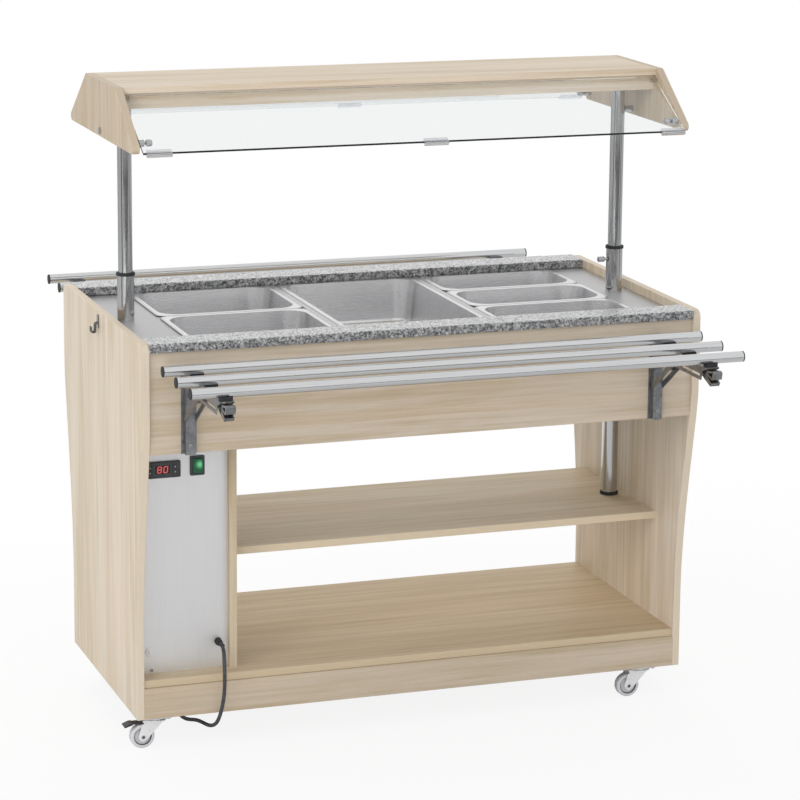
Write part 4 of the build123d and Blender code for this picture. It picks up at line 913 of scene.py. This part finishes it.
@dataclass(frozen=True)
class ScrewHead:
    """Head of a machine screw with a round socket.

    Attributes:
        radius: Radius of the head in metres.
        height: How far it stands off its seat.
        sides: Number of sides, 6 for a hexagon head.
        rim: Width of its sloping rim, as a share of the radius.
        dome: Rise of its top above the rim, as a share of the height.
        land: Width of the flat round the socket, as a share of the radius.
        socket: Depth of the socket, as a share of the height.
        bevel: Width of the bevel on its edges, as a share of the height.
    """

    radius: float = 3.6 * MM
    height: float = 2.0 * MM
    sides: int = 24
    rim: float = 0.28
    dome: float = 0.18
    land: float = 0.26
    socket: float = 0.55
    bevel: float = 0.12

    def model(self, name: str, seat: Point, axis: Axis, sign: float) -> bpy.types.Object:
        """Models the head on its seat.

        Args:
            name: Name of the piece.
            seat: Point of the seat under the middle of the head.
            axis: Direction that the screw is driven along.
            sign: 1 where the head looks up that axis, -1 where it looks down it.

        Returns:
            The head.
        """
        outward = axis.vector(sign)
        middle = tuple(Vector(seat) + outward * self.height / 2)
        head = Bench.cylinder(name, self.radius, self.height, middle, axis, self.sides)
        Bench.choose(head, outward)
        bpy.ops.mesh.inset(thickness=self.radius * self.rim)
        bpy.ops.transform.translate(value=outward * self.height * self.dome)
        bpy.ops.mesh.inset(thickness=self.radius * self.land)
        bpy.ops.mesh.extrude_region_move(
            TRANSFORM_OT_translate={"value": tuple(-outward * self.height * self.socket)}
        )
        Bench.soften(head, self.height * self.bevel)
        return head


@dataclass
class Carcass:
    """Side panels, boards and plinth.

    Attributes:
        nodes: The frame's nodes by name.
    """

    nodes: dict[str, bpy.types.Object]

    def dress(self) -> None:
        """Lays the decor along each board."""
        ASH_PANEL.dress(self.nodes["side_panels"])
        ASH_UPRIGHT.dress(self.nodes["compartment_boards"])
        ASH_APRON.dress(self.nodes["aprons"])
        ASH_PLINTH.dress(self.nodes["plinth_frame"])
        ASH_SHELF.dress(self.nodes["middle_shelf"])
        ASH_FLOOR.dress(self.nodes["bottom_board"])
        log.info("carcass dressed")


@dataclass
class Worktop:
    """Granite strips, steel top, well and heating element.

    Attributes:
        nodes: The frame's nodes by name.
    """

    nodes: dict[str, bpy.types.Object]

    def dress(self) -> None:
        """Gives stone and steel to the top."""
        GRANITE.dress(self.nodes["granite_strips"])
        WORKTOP_STEEL.dress(self.nodes["steel_worktop"])
        WELL_STEEL.dress(self.nodes["well_tank"])
        ELEMENT_SHEATH.dress(self.nodes["heating_element"])
        log.info("worktop dressed")


@dataclass
class FoodPans:
    """Steel of the six drop-in pans and of the bars between them.

    Attributes:
        nodes: The frame's nodes by name.
    """

    nodes: dict[str, bpy.types.Object]

    def dress(self) -> None:
        """Gives pressed steel to every pan, and brushed steel to the bars."""
        for name, node in self.nodes.items():
            if name == "pan_bars":
                BAR_STEEL.dress(node)
            elif name.startswith("pan_"):
                low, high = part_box(name)
                middle = ((low.x + high.x) / 2, (low.y + high.y) / 2)
                half = ((high.x - low.x) / 2, (high.y - low.y) / 2)
                PressedPan(f"{name}_steel", middle, half).dress(node)
        log.info("pans dressed")


@dataclass
class Hood:
    """Posts, wooden hood, tilting glass and the fittings between them.

    Attributes:
        nodes: The frame's nodes by name.
        rest: End of the right front rest pin, in the middle of its face.
        ball: Diameter and length of a knob's ball.
        neck: Length of the neck between the pin and the ball.
        rounding: Width of the bevel that makes the ball, as a share of its diameter.
    """

    nodes: dict[str, bpy.types.Object]
    rest: Point = (0.5759, -0.2407, 1.2636)
    ball: float = 14.0 * MM
    neck: float = 3.0 * MM
    rounding: float = 0.3

    def build(self) -> None:
        """Models the ball knobs on the four pins that the glass rests on."""
        x, y, z = self.rest
        for side, sign in (("right", 1.0), ("left", -1.0)):
            middle = (sign * (x - self.neck - self.ball / 2), y, z)
            knob = Bench.cylinder(f"rest_knobs_{side}", self.ball / 2, self.ball, middle, Axis.LENGTH)
            Bench.soften(knob, self.ball * self.rounding, 4)
            near = Axis.LENGTH.vector(sign)
            Bench.choose(knob, near, 0.995)
            bpy.ops.mesh.extrude_region_move(TRANSFORM_OT_translate={"value": tuple(near * self.neck)})
            bpy.ops.object.mode_set(mode="OBJECT")
            Bench.copies(knob, [(0.0, -2 * y, 0.0)])
            Bench.hand_over(knob, FITTING_CHROME, "hood", "chrome")

    def dress(self) -> None:
        """Gives wood, glass, chrome and plastic to the hood."""
        ASH_CHEEK.dress(self.nodes["hood_cheeks"])
        ASH_HOOD.dress(self.nodes["hood_top"])
        POST_STEEL.dress(self.nodes["hood_posts"], self.nodes["post_sleeves"])
        BLACK_PLASTIC.dress(self.nodes["sleeve_rings"])
        HOOD_GLASS.dress(self.nodes["glass_front"], self.nodes["glass_rear"])
        CLIP_PLASTIC.dress(self.nodes["glass_fittings_front"], self.nodes["glass_fittings_rear"])
        FITTING_CHROME.dress(self.nodes["glass_rests"], self.nodes["height_screw"])
        for side in ("front", "rear"):
            for clear in (self.nodes[f"glass_{side}"], self.nodes[f"glass_fittings_{side}"]):
                clear.visible_shadow = False
                clear.visible_diffuse = False
        log.info("hood dressed")


@dataclass
class TraySlides:
    """Tray tubes, folding brackets and the rails that carry them.

    Attributes:
        nodes: The frame's nodes by name.
        screw: Head of a rail screw.
        screw_rise: Height of the screws above the foot of the rails.
        rail_half: Half of the width of a rail's flange.
        channel_set: How far the screws' seats lie inside the outer face of the rails.
    """

    nodes: dict[str, bpy.types.Object]
    screw: ScrewHead = ScrewHead(3.8 * MM, 2.2 * MM)
    screw_rise: float = 19.0 * MM
    rail_half: float = 16.0 * MM
    channel_set: float = 14.0 * MM

    def dress(self) -> None:
        """Gives tube steel, zinc and black plastic to both slides."""
        for side in ("front", "rear"):
            TUBE_STEEL.dress(self.nodes[f"tray_tubes_{side}"])
            BLACK_PLASTIC.dress(self.nodes[f"tray_plastics_{side}"])
            RAIL_ZINC.dress(self.nodes[f"tray_arms_{side}"], self.nodes[f"tray_struts_{side}"])
            LEVER_ZINC.dress(self.nodes[f"tray_levers_{side}"])
        RAIL_ZINC.dress(self.nodes["bracket_rails"])
        log.info("tray slides dressed")

    def build(self) -> None:
        """Models the screws that hold the four rails to the aprons."""
        low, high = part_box("bracket_rails")
        x = high.x - self.rail_half
        y = high.y - self.channel_set
        z = low.z + self.screw_rise
        for side, sign in (("front", -1.0), ("rear", 1.0)):
            head = self.screw.model(f"rail_screws_{side}", (-x, sign * y, z), Axis.DEPTH, sign)
            Bench.copies(head, [(2 * x, 0.0, 0.0)])
            Bench.hand_over(head, SCREW_STEEL, "cart", "zinc")


@dataclass
class Castors:
    """Castor forks, wheels, brake pedals and the screws of their plates.

    Attributes:
        nodes: The frame's nodes by name.
        joints: The frame's joints.
        screw: Head of a plate screw.
        screw_reach: Distance of a screw from the castor's middle, along and across.
        plate: Thickness of the plate.
    """

    nodes: dict[str, bpy.types.Object]
    joints: tuple[dict, ...]
    screw: ScrewHead = ScrewHead(4.6 * MM, 2.4 * MM, sides=6)
    screw_reach: float = 23.0 * MM
    plate: float = 3.0 * MM

    def dress(self) -> None:
        """Gives zinc, grey rubber and black plastic to the castors."""
        for name, node in self.nodes.items():
            if name == "castor_plates":
                CASTOR_ZINC.dress(node)
            elif name.startswith(("castor_fork_", "castor_wheel_")):
                self.dress_castor(name, node)
            elif name.startswith("brake_pedal"):
                PEDAL_PLASTIC.dress(node)
        log.info("castors dressed")

    def dress_castor(self, name: str, node: bpy.types.Object) -> None:
        """Centres the rings of one castor's finish on its own axle.

        Args:
            name: Name of the fork or wheel.
            node: Its object.
        """
        kind, corner = name.split("_", 2)[1:]
        low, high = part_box(f"castor_wheel_{corner}")
        middle = tuple((low + high) / 2)
        if kind == "wheel":
            WheelTyre(f"tyre_{corner}", (206, 207, 211), gloss=0.5, middle=middle).dress(node)
        else:
            ForkZinc(f"fork_zinc_{corner}", shade=246, gloss=0.34, middle=middle).dress(node)

    def build(self) -> None:
        """Models the sixteen hexagon heads under the castor plates."""
        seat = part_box("castor_plates")[1].z - self.plate
        centres = [
            (joint["pos_m"][0], joint["pos_m"][1])
            for joint in self.joints
            if joint["name"].startswith("swivel_")
        ]
        places = [
            (x + side * self.screw_reach, y + end * self.screw_reach, seat)
            for x, y in centres
            for side in (-1, 1)
            for end in (-1, 1)
        ]
        first = places[0]
        head = self.screw.model("castor_plate_screws", first, Axis.HEIGHT, -1.0)
        Bench.copies(head, [tuple(Vector(place) - Vector(first)) for place in places[1:]])
        Bench.hand_over(head, SCREW_STEEL, "cart", "zinc")


@dataclass
class ControlPanel:
    """Thermostat, lit rocker, gland and stud on the steel panel.

    Attributes:
        nodes: The frame's nodes by name.
        window: Width and height of the display window.
        window_rise: Height of the window above the key pads' middle.
        recess: Depth of the housing's recess.
        pane: Thickness of the window.
        window_edge: Width of the window's rim.
        window_dish: How far its face lies behind the rim.
        window_bevel: Width of the bevel on its edges.
        digit_height: Height of a digit.
        digit_width: Width of a digit.
        digit_gap: Space between the two digits.
        digit_set: How far a stroke's middle lies in front of the recess's floor.
        stroke: Width of a digit's stroke.
        stroke_height: Thickness of a stroke.
        point: Length of a stroke's point, as a share of its width.
        taper: Share of the width that is left at the point.
        upright_trim: How much shorter than half a digit an upright is, in widths of a stroke.
        flat_trim: How much shorter than a digit's width a flat stroke is, in widths of a stroke.
        lean: Slant of the digits, in metres across for each metre up.
        screw: Head of the panel screw.
        screw_place: Its seat, from the lowest left front corner of the panel's box.
        mark_radius: Radius of a mark on a key pad.
        mark_height: Thickness of a mark, with the part inside the pad.
        mark_set: How far its middle lies in front of the pad.
        mark_rise: Height of the upper mark above the pad's middle.
        mark_bevel: Width of the bevel on its edges.
    """

    nodes: dict[str, bpy.types.Object]
    window: tuple[float, float] = (31.4 * MM, 16.4 * MM)
    window_rise: float = 0.5 * MM
    recess: float = 0.8 * MM
    digit_height: float = 14.4 * MM
    digit_width: float = 9.6 * MM
    digit_gap: float = 3.6 * MM
    digit_set: float = 0.62 * MM
    stroke: float = 1.9 * MM
    stroke_height: float = 0.22 * MM
    point: float = 0.45
    taper: float = 0.12
    upright_trim: float = 1.25
    flat_trim: float = 2.1
    lean: float = 0.1
    pane: float = 0.5 * MM
    window_edge: float = 0.7 * MM
    window_dish: float = 0.12 * MM
    window_bevel: float = 0.12 * MM
    screw: ScrewHead = ScrewHead(3.4 * MM, 1.8 * MM)
    screw_place: Point = (28.8 * MM, 10.0 * MM, 6.5 * MM)
    mark_radius: float = 2.2 * MM
    mark_height: float = 0.3 * MM
    mark_set: float = 0.1 * MM
    mark_rise: float = 5.4 * MM
    mark_bevel: float = 0.08 * MM

    def dress(self) -> None:
        """Gives steel, plastic and light to the panel."""
        PANEL_STEEL.dress(self.nodes["control_panel"])
        BEZEL_PLASTIC.dress(self.nodes["panel_bezels"])
        KEY_PLASTIC.dress(self.nodes["key_pad_left"], self.nodes["key_pad_right"])
        ROCKER_LENS.dress(self.nodes["rocker"])
        BLACK_PLASTIC.dress(self.nodes["cord_gland"])
        log.info("control panel dressed")

    def window_centre(self) -> Vector:
        """Middle of the display window, between the two key pads."""
        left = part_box("key_pad_left")
        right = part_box("key_pad_right")
        x = (left[0].x + right[1].x) / 2
        z = (left[0].z + left[1].z) / 2 + self.window_rise
        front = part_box("panel_bezels")[0].y
        return Vector((x, front + self.recess, z))

    def build(self) -> None:
        """Models the window, its digits, the key marks and the panel screw."""
        self.build_window()
        self.build_digits()
        self.build_marks()
        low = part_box("control_panel")[0]
        seat = tuple(corner + shift for corner, shift in zip(low, self.screw_place))
        screw = self.screw.model("panel_screw", seat, Axis.DEPTH, -1.0)
        Bench.hand_over(screw, SCREW_STEEL, "cart", "steel")

    def build_window(self) -> None:
        """Models the dark window that fills the housing's recess."""
        centre = self.window_centre()
        middle = (centre.x, centre.y - self.pane / 2, centre.z)
        pane = Bench.block("display_window", (self.window[0], self.pane, self.window[1]), middle)
        Bench.choose(pane, Axis.DEPTH.vector(-1.0))
        bpy.ops.mesh.inset(thickness=self.window_edge)
        bpy.ops.transform.translate(value=(0.0, self.window_dish, 0.0))
        Bench.soften(pane, self.window_bevel)
        Bench.hand_over(pane, WINDOW_PLASTIC, "cart", "key_plastic")

    def stroke_piece(self, name: str, length: float, upright: bool, middle: Vector) -> bpy.types.Object:
        """Models one pointed stroke of a digit.

        Args:
            name: Name of the stroke.
            length: Its length between the points.
            upright: Whether it stands.
            middle: Its centre.

        Returns:
            The stroke.
        """
        thin = self.stroke_height
        size = (self.stroke, thin, length) if upright else (length, thin, self.stroke)
        piece = Bench.block(name, size, tuple(middle))
        end = Axis.HEIGHT if upright else Axis.LENGTH
        for sign in (-1.0, 1.0):
            outward = end.vector(sign)
            Bench.choose(piece, outward)
            bpy.ops.mesh.extrude_region_move(
                TRANSFORM_OT_translate={"value": tuple(outward * self.stroke * self.point)}
            )
            squeeze = (self.taper, 1.0, 1.0) if upright else (1.0, 1.0, self.taper)
            bpy.ops.transform.resize(value=squeeze, center_override=tuple(middle))
        bpy.ops.object.mode_set(mode="OBJECT")
        return piece

    def build_digits(self) -> None:
        """Models an eight and a nought from seven-stroke digits."""
        centre = self.window_centre()
        half = self.digit_height / 2
        length = half - self.stroke * self.upright_trim
        across = self.digit_width - self.stroke
        flat = self.digit_width - self.stroke * self.flat_trim
        rows = {"top": half - self.stroke / 2, "middle": 0.0, "bottom": self.stroke / 2 - half}
        strokes: list[bpy.types.Object] = []
        pitch = self.digit_width + self.digit_gap
        for place, missing in ((-0.5, ""), (0.5, "middle")):
            x = centre.x + place * pitch
            y = centre.y - self.digit_set
            for row, rise in rows.items():
                if row != missing:
                    spot = Vector((x, y, centre.z + rise))
                    strokes.append(self.stroke_piece("stroke", flat, False, spot))
            for side in (-1, 1):
                for level in (-1, 1):
                    rise = level * (half - self.stroke / 2) / 2
                    spot = Vector((x + side * across / 2, y, centre.z + rise))
                    strokes.append(self.stroke_piece("stroke", length, True, spot))
        Bench.clear()
        for stroke in strokes:
            stroke.select_set(True)
        bpy.context.view_layer.objects.active = strokes[0]
        bpy.ops.object.join()
        digits = strokes[0]
        digits.name = "display_digits"
        for vertex in digits.data.vertices:
            vertex.co.x += self.lean * (vertex.co.z - centre.z)
        Bench.hand_over(digits, DIGIT_LIGHT, "cart", "rocker_green")

    def build_marks(self) -> None:
        """Models the two raised marks on each key pad."""
        for name, body in (("key_pad_left", "left_keys"), ("key_pad_right", "right_keys")):
            low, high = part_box(name)
            middle = (low + high) / 2
            place = (middle.x, low.y - self.mark_set, middle.z + self.mark_rise)
            mark = Bench.cylinder(
                f"{name}_marks", self.mark_radius, self.mark_height, place, Axis.DEPTH, 3
            )
            Bench.soften(mark, self.mark_bevel, 1)
            Bench.copies(mark, [(0.0, 0.0, -2 * self.mark_rise)])
            Bench.hand_over(mark, MARK_PAINT, body, "key_plastic")


@dataclass
class SideHook:
    """Small double hook on the left panel.

    Attributes:
        nodes: The frame's nodes by name.
    """

    nodes: dict[str, bpy.types.Object]

    def dress(self) -> None:
        """Gives chrome to the hook."""
        HOOK_CHROME.dress(self.nodes["side_hook"])
        log.info("side hook dressed")


@dataclass
class MainsLead:
    """Mains lead from its gland to the coil put away behind the plinth.

    Attributes:
        nodes: The frame's nodes by name.
        diameter: Diameter of the sheath.
        length: Real length from the gland to the plug; not used.
        relief_length: Length of the strain relief.
        relief_radius: Radius of the strain relief at its foot.
        relief_taper: Share of that radius at its tip.
        relief_bevel: Width of the bevel on its edges.
        lip: Width of the step at its tip.
        lip_rise: How far that step stands out.
        grooves: Number of its grooves.
        groove_start: Distance from its foot to the first groove.
        groove_pitch: Distance from groove to groove.
        groove_edges: Place of each edge of a groove and the share of the radius that it keeps.
        exit: Where the lead leaves the gland.
        coil_centre: Middle of the coil on the floor.
        coil_radius: Radius of the lead's line where the coil begins.
        coil_step: How far a half turn moves in or out.
        coil_lift: Height of the second layer above the first.
        floor_line: Height of the lead's middle where it lies on the floor.
        half_turns_in: Half turns of the lower layer.
        half_turns_out: Half turns of the climb and the upper layer.
        points_a_half_turn: Control points of a half turn.
        tail: Length of the straight end at the plug.
        tail_knots: Shares of that length at which its control points lie.
    """

    nodes: dict[str, bpy.types.Object]
    diameter: float = 8.0 * MM
    length: float = 1.896
    relief_length: float = 22.0 * MM
    relief_radius: float = 6.6 * MM
    relief_taper: float = 0.74
    relief_bevel: float = 0.25 * MM
    lip: float = 0.5 * MM
    lip_rise: float = 0.4 * MM
    grooves: int = 5
    groove_start: float = 4.0 * MM
    groove_pitch: float = 3.4 * MM
    groove_edges: tuple[tuple[float, float], ...] = (
        (0.0, 1.0),
        (0.5 * MM, 0.86),
        (1.5 * MM, 0.86),
        (2.0 * MM, 1.0),
    )
    exit: Point = (-0.422, -0.241, 0.208)
    coil_centre: tuple[float, float] = (-0.408, -0.015)
    coil_radius: float = 58.5 * MM
    coil_step: float = 5.1 * MM
    coil_lift: float = 8.6 * MM
    floor_line: float = 4.0 * MM
    half_turns_in: int = 5
    half_turns_out: int = 5
    points_a_half_turn: int = 12
    tail: float = 48.0 * MM
    tail_knots: tuple[float, ...] = (0.25, 0.6, 1.0)

    def run(self) -> list[Point]:
        """Points of the lead from the gland down to the floor and in behind the plinth."""
        return [
            (-0.422, -0.241, 0.208),
            (-0.422, -0.262, 0.208),
            (-0.4245, -0.2815, 0.2005),
            (-0.428, -0.2965, 0.186),
            (-0.4295, -0.3045, 0.166),
            (-0.430, -0.306, 0.143),
            (-0.4305, -0.3045, 0.119),
            (-0.4325, -0.3005, 0.095),
            (-0.436, -0.295, 0.072),
            (-0.4395, -0.284, 0.051),
            (-0.4435, -0.267, 0.038),
            (-0.448, -0.244, 0.031),
            (-0.452, -0.219, 0.029),
            (-0.4555, -0.194, 0.026),
            (-0.4585, -0.170, 0.0205),
            (-0.461, -0.147, 0.0135),
            (-0.4634, -0.1245, 0.0076),
            (-0.4652, -0.1015, 0.0045),
            (-0.4663, -0.0765, 0.004),
            (-0.4665, -0.0495, 0.004),
        ]

    def coil(self) -> list[Point]:
        """Points of the flat coil: inwards on the floor, up one layer, and outwards again."""
        points: list[Point] = []
        step = math.pi / self.points_a_half_turn
        reach = 1.0 / math.cos(step / 2)
        half_turns = self.half_turns_in + self.half_turns_out
        for index in range(half_turns * self.points_a_half_turn + 1):
            turned = index / self.points_a_half_turn
            radius = self.radius_after(turned) * reach
            lift = self.coil_lift * min(max(turned - self.half_turns_in, 0.0), 1.0)
            angle = math.pi - turned * math.pi
            x = self.coil_centre[0] + radius * math.cos(angle)
            y = self.coil_centre[1] + radius * math.sin(angle)
            points.append((x, y, self.floor_line + lift))
        return points

    def radius_after(self, turned: float) -> float:
        """Radius of the coil after a number of half turns."""
        inwards = min(turned, self.half_turns_in)
        outwards = max(turned - self.half_turns_in - 1, 0.0)
        return self.coil_radius - self.coil_step * (inwards - outwards)

    def relief(self) -> bpy.types.Object:
        """Models the ribbed, tapered strain relief at the gland."""
        x, y, z = self.exit
        middle = (x, y - self.relief_length / 2, z)
        sleeve = Bench.cylinder(
            "lead_strain_relief", self.relief_radius, self.relief_length, middle, Axis.DEPTH, 28
        )
        tip = (x, y - self.relief_length, z)
        Bench.choose(sleeve, Axis.DEPTH.vector(-1.0))
        taper = (self.relief_taper, 1.0, self.relief_taper)
        bpy.ops.transform.resize(value=taper, center_override=tip)
        bpy.ops.mesh.inset(thickness=self.lip)
        bpy.ops.transform.translate(value=(0.0, -self.lip_rise, 0.0))
        for ring in range(self.grooves):
            groove = y - self.groove_start - ring * self.groove_pitch
            for edge, shrink in self.groove_edges:
                self.cut_ring(sleeve, groove - edge, shrink)
        Bench.soften(sleeve, self.relief_bevel)
        return sleeve

    def cut_ring(self, sleeve: bpy.types.Object, y: float, shrink: float) -> None:
        """Cuts a ring of edges round the relief and draws it in.

        Args:
            sleeve: The relief.
            y: Place of the ring along the relief.
            shrink: Share of the radius that it keeps.
        """
        middle = (self.exit[0], y, self.exit[2])
        bpy.ops.object.mode_set(mode="EDIT")
        bpy.ops.mesh.select_all(action="SELECT")
        bpy.ops.mesh.bisect(plane_co=middle, plane_no=(0.0, 1.0, 0.0))
        bpy.ops.transform.resize(value=(shrink, 1.0, shrink), center_override=middle)
        bpy.ops.object.mode_set(mode="OBJECT")

    def build(self) -> None:
        coil = self.coil()
        last = coil[-1]
        tail = [(last[0], last[1] + self.tail * share, last[2]) for share in self.tail_knots]
        points = self.run() + coil + tail
        line = bpy.data.curves.new("mains_lead_line", "CURVE")
        line.dimensions = "3D"
        spline = line.splines.new("NURBS")
        spline.points.add(len(points) - 1)
        for knot, point in zip(spline.points, points):
            knot.co = (*point, 1.0)
        spline.order_u = 3
        spline.use_endpoint_u = True
        spline.resolution_u = 6
        line.bevel_depth = self.diameter / 2
        line.bevel_resolution = 4
        line.use_fill_caps = True
        lead = bpy.data.objects.new("mains_lead_sheath", line)
        bpy.context.scene.collection.objects.link(lead)
        SHEATH.dress(lead)
        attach(lead, "cart")
        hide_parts("mains_lead", "lead_coil")
        sleeve = self.relief()
        Bench.hand_over(sleeve, BLACK_PLASTIC, "cart", "black_plastic")
        PLUG_RUBBER.dress(self.nodes["plug"])
        log.info("mains lead: %d control points", len(points))


@dataclass
class Studio:
    """Floor, world, lamps and camera of the photograph.

    Attributes:
        camera_place: Where the camera stands.
        azimuth: Direction from the cart to the camera, in degrees from its front.
        elevation: Angle of the camera above the cart, in degrees.
        roll: Turn of the camera about its view, in degrees.
        focal_pixels: Focal length in pixels of the picture.
        shift_y: Upward shift of the lens, as a share of the picture.
        daylight: Strength of the light from all round, which is 1 where it is seen.
        floor_radius: Radius of the floor.
        floor_sides: Number of sides of its edge.
        floor_drop: How far the floor lies below the wheels.
        fade_from: Distance from the cart at which the floor begins to turn white.
        fade_to: Distance at which it is white.
        near_white: How far it has turned white under the cart, from 0 to 1.
    """

    camera_place: Point = (-2.104279, -6.169497, 2.172397)
    azimuth: float = -19.286
    elevation: float = 11.698
    roll: float = 0.488
    focal_pixels: float = 3079.477
    shift_y: float = -0.1
    daylight: float = 0.76
    floor_radius: float = 14.0
    floor_sides: int = 96
    floor_drop: float = 0.8 * MM
    fade_from: float = 1.1
    fade_to: float = 2.4
    near_white: float = 0.88

    def build(self) -> None:
        """Sets up everything that isn't the cart."""
        bpy.context.scene.view_settings.view_transform = "Standard"
        self.build_camera()
        self.build_world()
        self.build_floor()
        self.build_lamps()
        self.build_cards()
        log.info("studio ready")

    def build_camera(self) -> None:
        """Places the camera at the photograph's angle."""
        azimuth = math.radians(self.azimuth)
        elevation = math.radians(self.elevation)
        roll = math.radians(self.roll)
        right = Vector((math.cos(azimuth), math.sin(azimuth), 0.0))
        back = Vector(
            (
                math.sin(azimuth) * math.cos(elevation),
                -math.cos(azimuth) * math.cos(elevation),
                math.sin(elevation),
            )
        )
        up = back.cross(right)
        rolled_right = right * math.cos(roll) + up * math.sin(roll)
        rolled_up = up * math.cos(roll) - right * math.sin(roll)
        lens = bpy.data.cameras.new("photo_camera")
        lens.sensor_width = SENSOR_WIDTH
        lens.lens = self.focal_pixels / IMAGE_SIDE * SENSOR_WIDTH
        lens.shift_y = self.shift_y
        lens.clip_end = 100.0
        camera = bpy.data.objects.new("photo_camera", lens)
        turn = Matrix((rolled_right, rolled_up, back)).transposed().to_4x4()
        camera.matrix_world = Matrix.Translation(self.camera_place) @ turn
        bpy.context.scene.collection.objects.link(camera)
        bpy.context.scene.camera = camera

    def build_world(self) -> None:
        """Lights the cart softly and shows white behind it."""
        world = bpy.data.worlds.new("white_room")
        world.use_nodes = True
        tree = world.node_tree
        tree.nodes.clear()
        paths = tree.nodes.new("ShaderNodeLightPath")
        sums = []
        for name in ("Is Camera Ray", "Is Glossy Ray", "Is Transmission Ray"):
            total = tree.nodes.new("ShaderNodeMath")
            total.operation = "ADD"
            total.use_clamp = True
            tree.links.new(paths.outputs[name], total.inputs[0])
            total.inputs[1].default_value = 0.0
            if sums:
                tree.links.new(sums[-1], total.inputs[1])
            sums.append(total.outputs["Value"])
        strength = tree.nodes.new("ShaderNodeMapRange")
        tree.links.new(sums[-1], strength.inputs["Value"])
        strength.inputs["To Min"].default_value = self.daylight
        strength.inputs["To Max"].default_value = 1.0
        light = tree.nodes.new("ShaderNodeBackground")
        tree.links.new(strength.outputs["Result"], light.inputs["Strength"])
        output = tree.nodes.new("ShaderNodeOutputWorld")
        tree.links.new(light.outputs["Background"], output.inputs["Surface"])
        light.inputs["Color"].default_value = (1.0, 1.0, 1.0, 1.0)
        bpy.context.scene.world = world

    def build_floor(self) -> None:
        """Lays a pale floor that keeps a faint shadow near the cart."""
        Bench.clear()
        bpy.ops.mesh.primitive_circle_add(
            vertices=self.floor_sides,
            radius=self.floor_radius,
            fill_type="NGON",
            location=(0.0, 0.0, -self.floor_drop),
        )
        floor = bpy.context.object
        floor.name = "studio_floor"
        bpy.ops.object.transform_apply(location=True, rotation=True, scale=True)
        graph = Graph("studio_floor")
        graph.set(Base_Color=(0.74, 0.74, 0.74), Roughness=0.9, Specular_IOR_Level=0.1)
        paths = graph.add("ShaderNodeLightPath")
        distance = graph.add("ShaderNodeVectorMath", operation="LENGTH")
        graph.link(graph.coordinates.outputs["Object"], distance.inputs[0])
        away = distance.outputs["Value"]
        far = graph.spread(away, self.near_white, 1.0, self.fade_from, self.fade_to)
        seen = graph.math("ADD", paths.outputs["Is Camera Ray"], paths.outputs["Is Transmission Ray"])
        glow = graph.add("ShaderNodeEmission")
        glow.inputs["Strength"].default_value = 1.0
        mix = graph.add("ShaderNodeMixShader")
        graph.link(graph.math("MULTIPLY", seen, far), mix.inputs["Fac"])
        graph.link(graph.shader.outputs["BSDF"], mix.inputs[1])
        graph.link(glow.outputs["Emission"], mix.inputs[2])
        graph.link(mix.outputs["Shader"], graph.output.inputs["Surface"])
        floor.data.materials.append(graph.material)

    def lamp(self, name: str, place: Point, aim: Point, size: float, power: float) -> None:
        """Adds a soft square lamp.

        Args:
            name: Name of the lamp.
            place: Where it hangs.
            aim: Point that it looks at.
            size: Its side in metres.
            power: Its power in watts.
        """
        light = bpy.data.lights.new(name, "AREA")
        light.shape = "SQUARE"
        light.size = size
        light.energy = power
        lamp = bpy.data.objects.new(name, light)
        lamp.location = place
        lamp.visible_camera = False
        lamp.visible_glossy = False
        lamp.visible_transmission = False
        lamp.rotation_euler = (Vector(aim) - Vector(place)).to_track_quat("-Z", "Y").to_euler()
        bpy.context.scene.collection.objects.link(lamp)

    def build_lamps(self) -> None:
        """Hangs a soft key at the left front, low enough to reach the shelves, and a fill."""
        self.lamp("key_lamp", place=(-3.8, -2.5, 3.2), aim=(0.0, 0.0, 0.5), size=2.6, power=70.0)
        self.lamp("fill_lamp", place=(0.6, -5.2, 3.2), aim=(0.0, 0.2, 0.3), size=2.6, power=16.0)
        self.lamp("low_lamp", place=(-2.4, -5.0, 0.5), aim=(0.3, 0.0, 0.6), size=1.6, power=60.0)
        self.lamp("back_lamp", place=(0.2, 3.8, 2.2), aim=(0.0, 0.0, 0.4), size=2.4, power=96.0)

    def build_cards(self) -> None:
        """Stands dark cards that only mirror-like surfaces see, as in a studio."""
        dark = Graph("dark_card")
        dark.set(Base_Color=(0.03, 0.03, 0.035), Roughness=1.0, Specular_IOR_Level=0.0)
        cards = {
            "card_front_low": ((0.0, -5.0, 0.0), (9.0, 0.02, 0.9)),
            "card_left": ((-3.6, -1.5, 0.6), (0.02, 0.9, 1.2)),
            "card_right": ((3.8, -2.2, 0.6), (0.02, 0.8, 1.2)),
            "card_back": ((1.0, 4.6, 0.5), (1.0, 0.02, 1.0)),
            "card_back_left": ((-2.2, 4.2, 0.5), (0.8, 0.02, 1.0)),
        }
        for name, (middle, size) in cards.items():
            card = Bench.block(name, size, middle)
            card.data.materials.append(dark.material)
            card.visible_camera = False
            card.visible_diffuse = False
            card.visible_transmission = False
            card.visible_shadow = False


def main() -> None:
    """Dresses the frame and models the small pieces."""
    logging.basicConfig(level=logging.INFO, format="%(name)s: %(message)s")
    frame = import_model()
    nodes = frame["nodes"]
    Studio().build()
    MainsLead(nodes).build()
    Carcass(nodes).dress()
    Worktop(nodes).dress()
    FoodPans(nodes).dress()
    hood = Hood(nodes)
    hood.dress()
    hood.build()
    slides = TraySlides(nodes)
    slides.dress()
    slides.build()
    castors = Castors(nodes, tuple(frame["joints"]))
    castors.dress()
    castors.build()
    panel = ControlPanel(nodes)
    panel.dress()
    panel.build()
    SideHook(nodes).dress()


if __name__ == "__main__":
    main()
